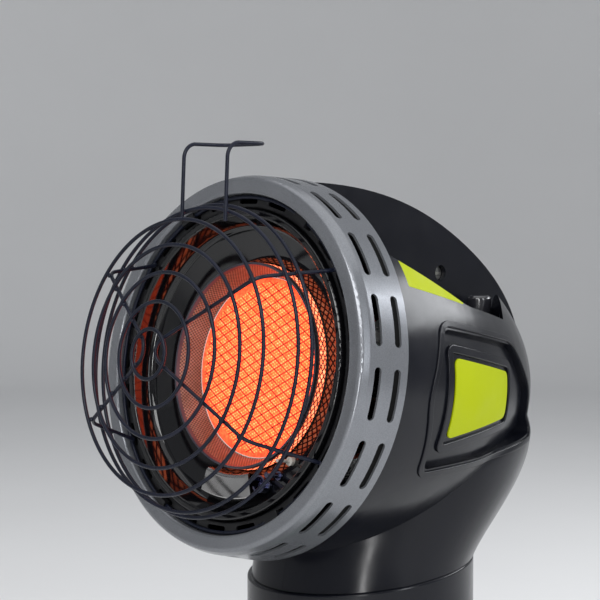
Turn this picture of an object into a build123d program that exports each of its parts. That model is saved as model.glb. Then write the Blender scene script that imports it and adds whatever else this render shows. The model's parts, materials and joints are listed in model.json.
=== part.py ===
"""Portable radiant propane heater standing on its own gas cylinder.

Millimetres, +Z up.  The heater faces -Y.  The origin is the centre of the
foot's underside, on the axis shared by the foot, the cylinder and the collar
of the housing.  The head (bezel, guard, burner and bulb-shaped housing) looks
slightly upward from that axis.
"""

import math
import os

from build123d import *

os.makedirs("parts", exist_ok=True)

# ---------------------------------------------------------------- driving sizes
gap = 0.3  # air between pieces that move past each other
seat = 0.1  # air between fixed pieces laid one on another

# Head on the cylinder axis
head_tilt = 7.8  # degrees that the burner looks upward
head_height = 280.0  # centre of the bezel above the floor
head_reach = 95.4  # centre of the bezel in front of the cylinder axis

# Bezel ring, pressed from sheet; depths run backward from its front face
bezel_mouth = 84.2  # radius of the opening
bezel_lip = 5.0  # depth of the lip turned back round the opening
bezel_front = 92.2  # radius where the front face ends
bezel_corner = 94.0  # radius just behind the front corner
bezel_corner_depth = 5.5
bezel_tail = 96.0  # radius of the rear edge
bezel_depth = 28.7
bezel_wall = 1.2
bezel_slots = 17  # slots in each of the two rows
bezel_slot_length = 25.0
bezel_slot_width = 4.2
bezel_slot_rows = (10.3, 22.3)

# Wire guard
wire = 1.9  # diameter of every wire of the guard
nose_ring_radii = (12.0, 25.5, 39.9, 53.6, 66.3)
side_ring_reaches = (21.8, 15.2)
guard_nose = 52.0  # forward reach of the nose cone at the axis
guard_knee_radius = 69.0
guard_knee_reach = 35.8
guard_rim_radius = 82.9
upper_spoke_angle = 54.0  # degrees from the top
lower_spoke_angle = 122.0
spoke_cross = (-1.3, 1.8)  # where the two straight legs of a spoke would meet
spoke_cross_bend = 7.0
spoke_knee_bend = 10.0
hook_half_width = 16.0
hook_top = 105.0  # height of the bend above the head axis
hook_reach = 26.5
hook_back_rise = 3.5
hook_tail = 5.0  # length left below the weld
hook_bend = 7.5

# Ring behind the guard, and the reflector bowl
flange_wall = 1.0
flange_inner = 77.2
flange_turn = 6.0  # depth of the inner edge turned back
flange_slots = 24
flange_slot_length = 13.0
flange_slot_width = 2.4
bowl_wall = 0.8
bowl_foot = (70.4, -12.5)  # radius and place of the foot of the steep wall
bowl_lip = (73.4, -2.4)
bowl_start = 7.5  # depth of the dish's inner edge behind the cup's rim
clip_width = 9.0
clip_wall = 1.2

# Burner
cup_rim = 50.3
cup_front = -12.0
cup_wall = 3.8
tile_radius = 45.0
tile_face = -25.0
tile_thickness = 13.0
gasket_wall = 2.6
plenum_wall = 1.0
plenum_depth = 18.0
plenum_waist = 44.0
bracket_wall = 1.5
bracket_width = 12.0
bracket_tab = 8.0
bracket_angles = (65, 180, 295)
tube_radius = 13.0
tube_bore = 11.0
throat_bore = 7.0
tube_length = 27.0
tube_window = 6.5
jet_radius = 3.5
jet_length = 9.0

# Pilot unit: places are across and up from the head axis
pilot_back = -26.0
pilot_stub = 5.0  # length of the pilot's pieces behind their bracket
shield_band = (54.0, 67.2)  # inner and outer radius
shield_reach = -8.5
shield_half_turn = 16.0
shield_lift = 0.5  # air below the feet of its two legs
pilot_place = (22.5, -57.0)
pilot_radius = 4.4
pilot_wall = 0.9
pilot_bore = 7.0  # depth of the bore in its front end
probe_place = (30.5, -52.0)
probe_radius = 2.2
electrode_place = (36.5, -44.5)
electrode_radius = 2.2
pilot_bracket_span = (133, 166)  # degrees from the top

# Housing
shell = 2.5  # wall of the two housing halves
bulb_radius = 92.5
bulb_front = 29.5  # where the bulb starts, behind the bezel's front face
bulb_length = 174.0
spigot_front = 16.0  # front of the spigot that the bezel is pressed on
spine_half = 16.0  # half the width of the carrying spine
spine_round = 11.0
collar_radius = 59.5
collar_bottom = 112.0
crease_height = 170.2  # collar meets the neck here, on a plane tilted like the head
neck_step = 1.2  # the neck starts this much inside the collar
neck_root = 3.0  # depth of the neck's start below the collar's top
neck_levels = ((203.0, 16.5, 65.8), (240.0, 31.0, 69.0), (262.0, 30.0, 56.0))
grip_floor = ((-62.0, 337.6), (-4.0, 307.7), (95.0, 287.0))
grip_floor_bend = 40.0
grip_rear_outer = (104.0, 0.0)
grip_rear_inner = 86.0
panel_turn = 17.5  # degrees that the side panel is turned from the side view
panel_centre = (82.0, 15.0, 262.0)
panel_depth = 3.2
label_thickness = 0.8
accent_thickness = 1.4
screw_places = ((44.8, 322.0), (84.0, 240.0), (68.0, 200.0))  # setback and height
screw_radius = 1.7
screw_head = 3.9
screw_head_height = 2.8
screw_seat = 10.0  # place of the heads beside the seam
screw_length = 22.0
boss_radius = 5.4

# Buttons in the grips
button_x = 40.0
button_y = 48.5
button_radius = 6.3
button_top = 310.5
button_flange = 1.2
button_foot = 286.0
button_travel = 2.0
switch_wall = 2.0
igniter_bottom = 245.0
shutoff_bottom = 262.0

# Gas train
thread_radius = 12.7  # one inch cylinder thread
thread_clearance = 0.05
nut_radius = 17.0
nut_bottom = 196.0
nut_top = 214.0
nut_roof = 2.0
seal_height = 2.4
seal_bore = 4.0
regulator_radius = 27.0
regulator_height = 16.0
cover_radius = 24.0
cover_height = 8.0
plate_wall = 2.2
block_size = 22.0
block_front = -30.0
block_back = 11.0
block_top = 276.0
tip_switch_size = (18.0, 14.0, 20.0)
tip_switch_place = (30.0, 36.0)
pipe_radius = 1.6
lead_radius = 1.1

# Cylinder and foot
cylinder_radius = 49.0
cylinder_wall = 1.0
cylinder_height = 203.0
cylinder_shoulder = 176.0
cylinder_neck = 17.0
cylinder_dome = 3.5  # rise of the bottom inside its standing rim
neck_bottom = 188.0
neck_sink = 2.0  # depth of the neck's root in the shoulder
neck_top = 192.0
valve_recess = 1.0  # the valve ends this much below the neck's mouth
valve_bore = 4.0
foot_radius = 92.0
foot_wall = 3.0
foot_disc = 56.0
foot_floor = 6.0
socket_wall = 3.5
socket_top = 42.0
cone_top = 27.0
cone_edge = 8.5
foot_ribs = 8
rib_wall = 2.4
pad_width = 5.8
pad_height = 5.2

# ------------------------------------------------------------------- head frame
tilt = math.radians(head_tilt)
forward = Vector(0, -math.cos(tilt), math.sin(tilt))
upward = Vector(0, math.sin(tilt), math.cos(tilt))
head_centre = Vector(0, -head_reach, head_height)
# across, up and forward from the centre of the bezel's front face
head_face = Plane(origin=head_centre, x_dir=(1, 0, 0), z_dir=forward)
head_axis = Axis(head_centre, forward)


def head_point(across, up, ahead):
    """Point given across, up and forward from the centre of the bezel's front face."""
    return head_centre + Vector(across, 0, 0) + upward * up + forward * ahead


def outward_at(angle):
    """Direction across the head axis, at an angle from the top towards +X."""
    turn = math.radians(angle)
    return Vector(math.sin(turn), 0, 0) + upward * math.cos(turn)


def around_at(angle):
    """Direction round the head axis, at an angle from the top."""
    return outward_at(angle + 90)


def section_plane(angle=0):
    """Plane through the head axis: its X is the radius and its Y runs forward."""
    return Plane(origin=head_centre, x_dir=outward_at(angle), z_dir=around_at(angle))


def ring_plane(radius, angle, ahead):
    """Plane across a radius of the head: its normal points outward, its Y forward."""
    origin = head_centre + outward_at(angle) * radius + forward * ahead
    return Plane(origin=origin, x_dir=-around_at(angle), z_dir=outward_at(angle))


def sheet_section(points, radii, wall, side=Side.RIGHT, plane=section_plane()):
    """Section of a thin sheet whose face follows the points, with its wall on one side."""
    with BuildSketch(plane) as section:
        with BuildLine():
            if radii is None:
                Polyline(*points)
            else:
                FilletPolyline(*points, radius=radii)
            offset(amount=wall, side=side, kind=Kind.INTERSECTION)
        make_face()
    return section.sketch


def polygon_section(points, plane=section_plane()):
    """Closed straight-sided section."""
    with BuildSketch(plane) as section:
        with BuildLine():
            Polyline(*points, close=True)
        make_face()
    return section.sketch


def bent_wire(points, radii, radius):
    """Round wire or tube along straight runs joined by tangent arcs."""
    with BuildPart() as bent:
        with BuildLine() as route:
            FilletPolyline(*points, radius=radii)
        path = route.wires()[0]
        with BuildSketch(Plane(origin=path @ 0, z_dir=path % 0)):
            Circle(radius)
        sweep(path=path)
    return bent.part


def save(piece, label):
    """Name a finished piece and write it."""
    piece.part.label = label
    export_step(piece.part, f"parts/{label}.step")


# ------------------------------------------------------------------- bezel ring
bezel_points = (
    (bezel_mouth, -bezel_lip),
    (bezel_mouth, 0),
    (bezel_front, -0.4),
    (bezel_corner, -bezel_corner_depth),
    (bezel_tail, -bezel_depth),
)
slot_pitch = 360 / bezel_slots

with BuildPart() as bezel_ring:
    add(sheet_section(bezel_points, (1.6, 2.6, 6.0), bezel_wall))
    revolve(axis=head_axis)
    slot_planes = [
        ring_plane(bezel_corner - 4 * bezel_wall, 180 + turn * slot_pitch, -depth)
        for depth in bezel_slot_rows
        for turn in range(bezel_slots)
    ]
    with BuildSketch(*slot_planes):
        SlotOverall(bezel_slot_length, bezel_slot_width)
    extrude(amount=8 * bezel_wall, mode=Mode.SUBTRACT)
save(bezel_ring, "bezel_ring")


def bezel_bore(depth):
    """Inner radius of the bezel's side at a depth behind its front face."""
    flare = (bezel_tail - bezel_corner) / (bezel_depth - bezel_corner_depth)
    return bezel_corner + flare * (depth - bezel_corner_depth) - bezel_wall


# ------------------------------------------------------------------ guard rings
flange_face = -bezel_lip - seat
guard_rim_reach = flange_face + wire / 2 + seat
nose_slope = (guard_nose - guard_knee_reach) / guard_knee_radius
side_slope = (guard_rim_radius - guard_knee_radius) / (guard_knee_reach - guard_rim_reach)


def side_radius(reach):
    """Radius of the guard's side at a forward reach."""
    return guard_knee_radius + side_slope * (guard_knee_reach - reach)


ring_places = [(radius, guard_nose - nose_slope * radius) for radius in nose_ring_radii]
ring_places += [(side_radius(reach), reach) for reach in side_ring_reaches]
ring_places.append((guard_rim_radius, guard_rim_reach))

with BuildPart() as guard_rings:
    for radius, reach in ring_places:
        with Locations(head_face.offset(reach).location):
            Torus(radius, wire / 2)
save(guard_rings, "guard_rings")

# ------------------------------------------------------------------- the spokes
# Each spoke is one wire: up from the rim, over the knee, round the middle of the
# nose without crossing it, and back down to the rim.  It is welded inside the rings.
weld = 0.95 * wire  # centre distance of two welded wires
spoke_nose = guard_nose - weld * math.hypot(1, nose_slope)
spoke_knee = guard_knee_radius - 0.9 * weld
spoke_rim = guard_rim_radius - weld


def spoke_point(angle, radius, reach):
    """Point of a spoke at an angle from the top."""
    return head_centre + outward_at(angle) * radius + forward * reach


spoke_knee_reach = spoke_nose - nose_slope * spoke_knee
spoke_wire = bent_wire(
    (
        spoke_point(upper_spoke_angle, spoke_rim, guard_rim_reach),
        spoke_point(upper_spoke_angle, spoke_knee, spoke_knee_reach),
        head_point(*spoke_cross, spoke_nose),
        spoke_point(lower_spoke_angle, spoke_knee, spoke_knee_reach),
        spoke_point(lower_spoke_angle, spoke_rim, guard_rim_reach),
    ),
    (spoke_knee_bend, spoke_cross_bend, spoke_knee_bend),
    wire / 2,
)

with BuildPart() as guard_spokes:
    add(spoke_wire)
    mirror(about=Plane.YZ)
save(guard_spokes, "guard_spokes")

# --------------------------------------------------------------------- top hook
# One wire bent to a stirrup, its two ends welded to the front of the side ring.
hook_weld_reach = side_ring_reaches[0] + weld
hook_weld_up = math.sqrt(side_radius(side_ring_reaches[0]) ** 2 - hook_half_width**2)
hook_lean = (hook_reach - hook_weld_reach) / (hook_top - hook_weld_up)
hook_side = (
    (hook_weld_up - hook_tail, hook_weld_reach - hook_tail * hook_lean),
    (hook_top, hook_reach),
    (hook_top + hook_back_rise, 0),
)
hook_points = [head_point(hook_half_width, *place) for place in hook_side]
hook_points += [head_point(-hook_half_width, *place) for place in reversed(hook_side)]

with BuildPart() as guard_hook:
    add(bent_wire(hook_points, hook_bend, wire / 2))
save(guard_hook, "guard_hook")

# ------------------------------------------------------- flange ring and clips
flange_outer = bezel_bore(bezel_corner_depth) - gap
flange_points = (
    (flange_inner, flange_face - flange_turn),
    (flange_inner, flange_face),
    (flange_outer, flange_face),
)
flange_slot_radius = flange_inner + 1.5 * flange_slot_width

with BuildPart() as flange_ring:
    add(sheet_section(flange_points, 1.5, flange_wall))
    revolve(axis=head_axis)
    with BuildSketch(head_face.offset(flange_face)):
        with PolarLocations(flange_slot_radius, flange_slots):
            SlotOverall(flange_slot_length, flange_slot_width, rotation=90)
    extrude(amount=-2 * flange_wall, mode=Mode.SUBTRACT)
save(flange_ring, "flange_ring")

# Straps over the rim wire, each with its foot on the flange inside the wire.
clip_angles = (30, 150, 210, 330)
clip_roof = guard_rim_reach + wire / 2 + seat
clip_radius = guard_rim_radius - wire / 2 - seat
with BuildPart() as guard_clips:
    for angle in clip_angles:
        with BuildSketch(section_plane(angle)):
            with BuildLine():
                Polyline(
                    (clip_radius, flange_face),
                    (clip_radius, clip_roof),
                    (guard_rim_radius + wire / 2, clip_roof),
                    (guard_rim_radius + wire / 2, clip_roof + clip_wall),
                    (clip_radius - clip_wall, clip_roof + clip_wall),
                    (clip_radius - clip_wall, flange_face),
                    close=True,
                )
            make_face()
        extrude(amount=clip_width / 2, both=True)
save(guard_clips, "guard_clips")

# -------------------------------------------------------------- reflector bowl
cup_outer = tile_radius + gasket_wall + cup_wall
sleeve_radius = cup_outer + gap
tile_back = tile_face - tile_thickness
bowl_inner_place = cup_front - bowl_start
bowl_outer = flange_inner - seat
bowl_points = (
    (sleeve_radius, tile_back + 2 * bowl_wall),
    (sleeve_radius, bowl_inner_place),
    bowl_foot,
    bowl_lip,
    (bowl_outer, bowl_lip[1]),
    (bowl_outer, flange_face - flange_turn / 2),
)
pilot_pieces = (
    (pilot_place, pilot_radius),
    (probe_place, probe_radius),
    (electrode_place, electrode_radius),
)

with BuildPart() as reflector_bowl:
    add(sheet_section(bowl_points, (1.5, 5.0, 1.2, 1.2), bowl_wall))
    revolve(axis=head_axis)
    for place, radius in pilot_pieces:
        with BuildSketch(head_face.offset(pilot_back)):
            with Locations(place):
                Circle(radius + gap)
        extrude(amount=-pilot_back, mode=Mode.SUBTRACT)
save(reflector_bowl, "reflector_bowl")

# ----------------------------------------------------------------- burner head
cup_points = (
    (cup_outer, cup_front),
    (cup_rim, cup_front),
    (tile_radius + 0.6, tile_face),
    (tile_radius + gasket_wall, tile_face),
    (tile_radius + gasket_wall, tile_back),
    (cup_outer, tile_back),
)
with BuildPart() as burner_cup:
    add(polygon_section(cup_points))
    revolve(axis=head_axis)
save(burner_cup, "burner_cup")

with BuildPart() as burner_tile:
    with BuildSketch(head_face.offset(tile_face - seat)):
        Circle(tile_radius)
    extrude(amount=-(tile_thickness - seat))
    chamfer(burner_tile.edges().sort_by(head_axis)[-1], 0.6)
save(burner_tile, "burner_tile")

with BuildPart() as tile_gasket:
    with BuildSketch(head_face.offset(tile_face - seat)):
        Circle(tile_radius + gasket_wall - seat)
        Circle(tile_radius + seat, mode=Mode.SUBTRACT)
    extrude(amount=-(tile_thickness - 2 * seat))
save(tile_gasket, "tile_gasket")

plenum_back = tile_back - plenum_depth
plenum_points = (
    (cup_outer, tile_back - plenum_wall - seat),
    (tile_radius + 2 * plenum_wall, tile_back - plenum_wall - seat),
    (plenum_waist, plenum_back),
    (tube_radius + seat, plenum_back),
)
with BuildPart() as burner_plenum:
    add(sheet_section(plenum_points, None, plenum_wall))
    revolve(axis=head_axis)
save(burner_plenum, "burner_plenum")


def bulb_bore(depth):
    """Inner radius of the bulb at a depth behind the bezel's front face."""
    share = (depth - bulb_front) / (bulb_length - shell)
    return (bulb_radius - shell) * math.sqrt(1 - share**2)


# Three-legged bracket that carries the plenum from the inside of the housing.
bracket_face = plenum_back - seat
bracket_bore = bulb_bore(-bracket_face + bracket_wall)
bracket_reach = math.sqrt(bracket_bore**2 - (bracket_width / 2) ** 2) - seat
with BuildPart() as burner_bracket:
    for angle in bracket_angles:
        with BuildSketch(section_plane(angle)):
            with BuildLine():
                Polyline(
                    (tube_radius, bracket_face),
                    (bracket_reach - bracket_wall, bracket_face),
                    (bracket_reach - bracket_wall, bracket_face + bracket_tab),
                    (bracket_reach, bracket_face + bracket_tab),
                    (bracket_reach, bracket_face - bracket_wall),
                    (tube_radius, bracket_face - bracket_wall),
                    close=True,
                )
            make_face()
        extrude(amount=bracket_width / 2, both=True)
    with BuildSketch(head_face.offset(bracket_face)):
        Circle(tube_radius + bracket_width)
    extrude(amount=-bracket_wall)
    with BuildSketch(head_face.offset(bracket_face)):
        Circle(tube_radius + seat)
    extrude(amount=-bracket_wall, mode=Mode.SUBTRACT)
save(burner_bracket, "burner_bracket")

# The mixing tube narrows to a throat and has four air windows beside the jet.
tube_front = plenum_back + 2 * plenum_wall
tube_back = tube_front - tube_length
tube_points = (
    (tube_radius, tube_front),
    (tube_bore, tube_front),
    (throat_bore, tube_front - 0.35 * tube_length),
    (throat_bore, tube_front - 0.5 * tube_length),
    (tube_bore, tube_front - 0.6 * tube_length),
    (tube_bore, tube_back),
    (tube_radius, tube_back),
)
window_place = tube_back + tube_window
with BuildPart() as mixing_tube:
    add(polygon_section(tube_points))
    revolve(axis=head_axis)
    with BuildSketch(*[ring_plane(0, angle, window_place) for angle in range(0, 360, 90)]):
        SlotOverall(tube_bore, tube_window)
    extrude(amount=2 * tube_radius, mode=Mode.SUBTRACT)
save(mixing_tube, "mixing_tube")

with BuildPart() as gas_jet:
    with BuildSketch(head_face.offset(tube_back)):
        RegularPolygon(jet_radius * 1.5, 6)
    extrude(amount=jet_length / 3)
    with BuildSketch(head_face.offset(tube_back)):
        Circle(jet_radius)
    extrude(amount=jet_length)
    with BuildSketch(head_face.offset(tube_back)):
        Circle(jet_radius / 3)
    extrude(amount=jet_length, mode=Mode.SUBTRACT)
save(gas_jet, "gas_jet")

# ------------------------------------------------------------------- pilot unit
# A bright shield at the bottom of the bowl, and beside it the pilot, the flame
# sensor and the spark electrode, which pass through the bowl into one bracket.
dish_slope = (bowl_foot[1] - bowl_inner_place) / (bowl_foot[0] - sleeve_radius)


def dish_place(radius):
    """Forward place of the bowl's dish at a radius."""
    return bowl_inner_place + dish_slope * (radius - sleeve_radius)


shield_points = (
    (shield_band[0], dish_place(shield_band[0]) + shield_lift),
    (shield_band[0], shield_reach),
    (shield_band[1], shield_reach - 0.6),
    (shield_band[1], dish_place(shield_band[1]) + shield_lift),
)
with BuildPart() as pilot_shield:
    add(
        sheet_section(
            shield_points, (2.2, 1.6), bowl_wall, plane=section_plane(180 + shield_half_turn)
        )
    )
    revolve(axis=head_axis, revolution_arc=2 * shield_half_turn)
save(pilot_shield, "pilot_shield")


def round_stage(place, radius, start, end):
    """Round length of a piece of the pilot unit, along the head axis."""
    with BuildPart() as stage:
        with BuildSketch(head_face.offset(start)):
            with Locations(place):
                Circle(radius)
        extrude(amount=end - start)
    return stage.part


pilot_mouth = shield_reach - 1.0
with BuildPart() as pilot_burner:
    add(round_stage(pilot_place, pilot_radius, pilot_back, pilot_mouth))
    add(
        round_stage(pilot_place, pilot_radius - pilot_wall, pilot_mouth - pilot_bore, pilot_mouth),
        mode=Mode.SUBTRACT,
    )
    with BuildSketch(head_face.offset(pilot_mouth)):
        with Locations(pilot_place):
            Rectangle(3 * pilot_radius, 0.7 * pilot_radius)
    extrude(amount=-3.5, mode=Mode.SUBTRACT)
save(pilot_burner, "pilot_burner")

probe_shoulder = shield_reach - 6.0
with BuildPart() as thermocouple:
    add(round_stage(probe_place, probe_radius, pilot_back, probe_shoulder))
    add(round_stage(probe_place, probe_radius - 0.8, probe_shoulder, shield_reach + 2))
save(thermocouple, "thermocouple")

electrode_shoulder = cup_front - 3.0
with BuildPart() as spark_electrode:
    add(round_stage(electrode_place, electrode_radius, pilot_back, electrode_shoulder))
    add(round_stage(electrode_place, 0.8, electrode_shoulder, cup_front + 5))
save(spark_electrode, "spark_electrode")

bracket_ends = [
    Vector(bezel_mouth, 0).rotate(Axis.Z, 90 - angle) for angle in pilot_bracket_span
]
with BuildPart() as pilot_bracket:
    with BuildSketch(head_face.offset(pilot_back + pilot_stub)):
        Circle(shield_band[1])
        Circle(sleeve_radius + bowl_wall + gap, mode=Mode.SUBTRACT)
        with BuildLine():
            Polyline((0, 0), *bracket_ends, close=True)
        make_face(mode=Mode.INTERSECT)
        for place, radius in pilot_pieces:
            with Locations(place):
                Circle(radius + seat, mode=Mode.SUBTRACT)
    extrude(amount=-bracket_wall)
save(pilot_bracket, "pilot_bracket")

# ---------------------------------------------------------------- housing shell
crease_plane = Plane(
    origin=(0, 0, crease_height), x_dir=(1, 0, 0), z_dir=(0, -math.sin(tilt), math.cos(tilt))
)
spine_crest = (
    (-70.0, 368.9),
    (-9.0, 365.2),
    (39.0, 350.9),
    (78.0, 327.2),
    (104.0, 299.5),
    (112.5, 262.0),
)
spine_keel = ((84.0, 238.0), (-70.0, 300.0))


def bulb_solid(skin, lead=0.0):
    """Bulb behind the bezel: half of a long ellipsoid, with a straight lead in front."""
    mouth = head_face.offset(-bulb_front)
    with BuildPart() as egg:
        Sphere(bulb_radius - skin, rotation=(0, 0, 180))
        scale(by=(1, 1, (bulb_length - skin) / (bulb_radius - skin)))
    with BuildPart() as bulb:
        with Locations(mouth.location):
            add(egg.part)
        split(bisect_by=mouth, keep=Keep.BOTTOM)
        if lead > 0:
            with BuildSketch(mouth):
                Circle(bulb_radius - skin)
            extrude(amount=lead)
    return bulb.part


def neck_solid(skin):
    """Neck that leans back from the collar and swells into the bulb."""
    with BuildPart() as neck:
        with BuildSketch(crease_plane.offset(-neck_root)):
            Circle(collar_radius - neck_step - skin)
        for level, setback, radius in neck_levels:
            with BuildSketch(Plane.XY.offset(level)):
                with Locations((0, setback)):
                    Circle(radius - skin)
        loft()
    return neck.part


def collar_solid(skin):
    """Collar round the cylinder's shoulder, cut off on the tilted crease plane."""
    with BuildPart() as collar:
        with BuildSketch(Plane.XY.offset(collar_bottom - skin)):
            Circle(collar_radius - skin)
        extrude(amount=neck_levels[0][0] - collar_bottom)
        split(bisect_by=crease_plane, keep=Keep.BOTTOM)
        if skin == 0:
            fillet(collar.edges().group_by(Axis.Z)[-1], neck_step)
    return collar.part


crest_curve = Spline(*spine_crest)


def crest_point(share, skin):
    """Point below the crest at a share of its length, as setback and height."""
    along = crest_curve % share
    point = crest_curve @ share + Vector(along.Y, -along.X) * skin
    return (point.X, point.Y)


def spine_solid(skin):
    """Carrying spine along the top, rounded over its two long edges."""
    steps = len(spine_crest) - 1
    with BuildPart() as spine:
        with BuildSketch(Plane.YZ):
            with BuildLine():
                crest = Spline(*[crest_point(step / steps, skin) for step in range(steps + 1)])
                Polyline(crest @ 1, *spine_keel, crest @ 0)
            make_face()
        extrude(amount=spine_half - skin, both=True)
        crest_face = spine.faces().filter_by(GeomType.PLANE, reverse=True)[0]
        fillet(crest_face.edges().filter_by(Axis.X, reverse=True), spine_round - skin)
        split(bisect_by=head_face.offset(-bulb_front - skin), keep=Keep.BOTTOM)
    return spine.part


def grip_space(skin):
    """Finger space on the +X side of the spine, with a sloping floor."""
    ceiling = head_height + 2 * bulb_radius
    with BuildPart() as space:
        with BuildSketch(Plane.YZ.offset(spine_half - skin)) as profile:
            with BuildLine():
                Polyline(
                    *grip_floor,
                    (grip_floor[-1][0], ceiling),
                    (grip_floor[0][0], ceiling),
                    close=True,
                )
            make_face()
            corner = profile.vertices().sort_by_distance((*grip_floor[1], 0))[0]
            fillet(corner, grip_floor_bend)
            if skin > 0:
                offset(amount=skin, kind=Kind.INTERSECTION)
        extrude(amount=2 * bulb_radius)
        with BuildSketch(Plane.XY.offset(head_height)):
            with BuildLine():
                Polyline(
                    (0, -2 * bulb_radius),
                    (grip_rear_outer[0] + skin, -2 * bulb_radius),
                    (grip_rear_outer[0] + skin, grip_rear_outer[1] + skin),
                    (0, grip_rear_inner + spine_half + 1.4 * skin),
                    close=True,
                )
            make_face()
        extrude(amount=2 * bulb_radius, both=True, mode=Mode.INTERSECT)
        split(bisect_by=head_face.offset(skin - bulb_front - shell), keep=Keep.BOTTOM)
    return space.part


# Side panel of the +X side: outlines are backward and up from the panel's centre
turn = math.radians(panel_turn)
panel_plane = Plane(
    origin=panel_centre,
    x_dir=(-math.sin(turn), math.cos(turn), 0),
    z_dir=(math.cos(turn), math.sin(turn), 0),
)
recess_outline = (
    (-45.6, 35.8), (-58.2, 2.5), (-51.0, -32.5), (-2.4, -31.0),
    (53.8, -23.5), (49.6, -0.7), (23.1, 24.4),
)
label_outline = ((-36.9, 21.4), (-38.1, -18.6), (18.1, -12.5), (18.1, 11.0))
accent_outline = ((-57.4, 72.0), (-61.6, 56.5), (-20.7, 46.6), (-17.1, 49.0))
panel_bend = 4.0
panel_reach = 30.0


def panel_block(outline, bend, spread=0.0):
    """Block through the bulb's side with an outline of the side panel."""
    with BuildPart() as block:
        with BuildSketch(panel_plane.offset(-panel_reach)) as face:
            with BuildLine():
                Polyline(*outline, close=True)
            make_face()
            fillet(face.vertices(), bend)
            if spread != 0:
                offset(amount=spread)
        extrude(amount=2 * panel_reach)
    return block.part


def bulb_skin(outer, inner):
    """Thin skin of the bulb between two depths below its surface."""
    with BuildPart() as skin:
        add(bulb_solid(outer))
        add(bulb_solid(inner), mode=Mode.SUBTRACT)
    return skin.part


# Openings in the side: the panel's recess and the accent's bed
with BuildPart() as recess:
    add(panel_block(recess_outline, panel_bend))
    add(bulb_solid(panel_depth), mode=Mode.SUBTRACT)

with BuildPart() as recess_wall:
    add(panel_block(recess_outline, panel_bend, shell))
    add(bulb_solid(panel_depth + shell), mode=Mode.SUBTRACT)

with BuildPart() as accent_bed:
    add(panel_block(accent_outline, 0.5))
    add(bulb_solid(accent_thickness), mode=Mode.SUBTRACT)

with BuildPart() as cavity:
    add(bulb_solid(shell, bulb_front - spigot_front + shell))
    add(neck_solid(shell))
    add(collar_solid(shell))
    add(spine_solid(shell))
    add(grip_space(shell), mode=Mode.SUBTRACT)
    add(recess_wall.part, mode=Mode.SUBTRACT)

spigot_points = (
    (0, -spigot_front),
    (bezel_bore(spigot_front) - seat, -spigot_front),
    (bezel_bore(bulb_front) - seat, -bulb_front),
    (0, -bulb_front),
)
with BuildPart() as spigot:
    add(polygon_section(spigot_points, section_plane(270)))
    revolve(axis=head_axis)

with BuildPart() as form:
    add(bulb_solid(0))
    add(neck_solid(0))
    add(collar_solid(0))
    add(spine_solid(0))
    add(grip_space(0), mode=Mode.SUBTRACT)
    add(spigot.part)

with BuildPart() as bosses:
    with BuildSketch(Plane.YZ.offset(seat / 2)):
        with Locations(*screw_places):
            Circle(boss_radius)
    extrude(amount=bulb_radius)
    add(form.part, mode=Mode.INTERSECT)

with BuildPart() as half_shell:
    add(form.part)
    split(bisect_by=Plane.YZ.offset(seat / 2), keep=Keep.TOP)
    add(recess.part, mode=Mode.SUBTRACT)
    add(accent_bed.part, mode=Mode.SUBTRACT)
    add(cavity.part, mode=Mode.SUBTRACT)
    add(bosses.part)
    with BuildSketch(Plane.XY.offset(button_foot)):
        with Locations((button_x, button_y)):
            Circle(button_radius + gap)
    extrude(amount=bulb_radius, mode=Mode.SUBTRACT)


def screw_stage(radius, start, end):
    """Round length across the seam at each screw place."""
    with BuildPart() as stage:
        with BuildSketch(Plane.YZ.offset(start)):
            with Locations(*screw_places):
                Circle(radius)
        extrude(amount=end - start)
    return stage.part


with BuildPart() as housing_right:
    add(half_shell.part)
    add(screw_stage(screw_radius + seat, 0, screw_seat), mode=Mode.SUBTRACT)
    add(screw_stage(screw_head + gap, screw_seat, bulb_radius), mode=Mode.SUBTRACT)
save(housing_right, "housing_right")

with BuildPart() as housing_left:
    mirror(half_shell.part, about=Plane.YZ)
    add(
        screw_stage(screw_radius + seat, screw_seat - screw_length - gap, 0), mode=Mode.SUBTRACT
    )
save(housing_left, "housing_left")

with BuildPart() as housing_screws:
    add(screw_stage(screw_radius, screw_seat - screw_length, screw_seat + screw_head_height))
    add(screw_stage(screw_head, screw_seat + seat, screw_seat + screw_head_height))
    with BuildSketch(Plane.YZ.offset(screw_seat + screw_head_height)):
        with Locations(*screw_places):
            Rectangle(screw_head, 0.9)
            Rectangle(0.9, screw_head)
    extrude(amount=-screw_head_height / 2, mode=Mode.SUBTRACT)
save(housing_screws, "housing_screws")

with BuildPart() as label_plate_right:
    add(panel_block(label_outline, 3.5))
    add(bulb_skin(panel_depth - label_thickness, panel_depth - seat), mode=Mode.INTERSECT)
save(label_plate_right, "label_plate_right")

with BuildPart() as label_plate_left:
    mirror(label_plate_right.part, about=Plane.YZ)
save(label_plate_left, "label_plate_left")

with BuildPart() as accent_right:
    add(panel_block(accent_outline, 0.5, -seat))
    add(bulb_skin(0, accent_thickness - seat), mode=Mode.INTERSECT)
    add(grip_space(0), mode=Mode.SUBTRACT)
save(accent_right, "accent_right")

with BuildPart() as accent_left:
    mirror(accent_right.part, about=Plane.YZ)
save(accent_left, "accent_left")

# --------------------------------------------------- buttons and what they push
# Each button stands in a barrel below its hole.  A flange keeps it from lifting out.
flange_radius = button_radius + button_flange
barrel_radius = flange_radius + gap + switch_wall


def grip_floor_height(setback):
    """Height of the straight rear part of the grip floor at a setback."""
    (start, high), (end, low) = grip_floor[1:]
    return high + (low - high) * (setback - start) / (end - start)


def grip_ceiling(setback):
    """Height of the housing's inside below the grip floor at a setback."""
    return grip_floor_height(setback) - 1.03 * shell


barrel_top = grip_ceiling(button_y + barrel_radius) - seat
flange_top = barrel_top - gap


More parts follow.
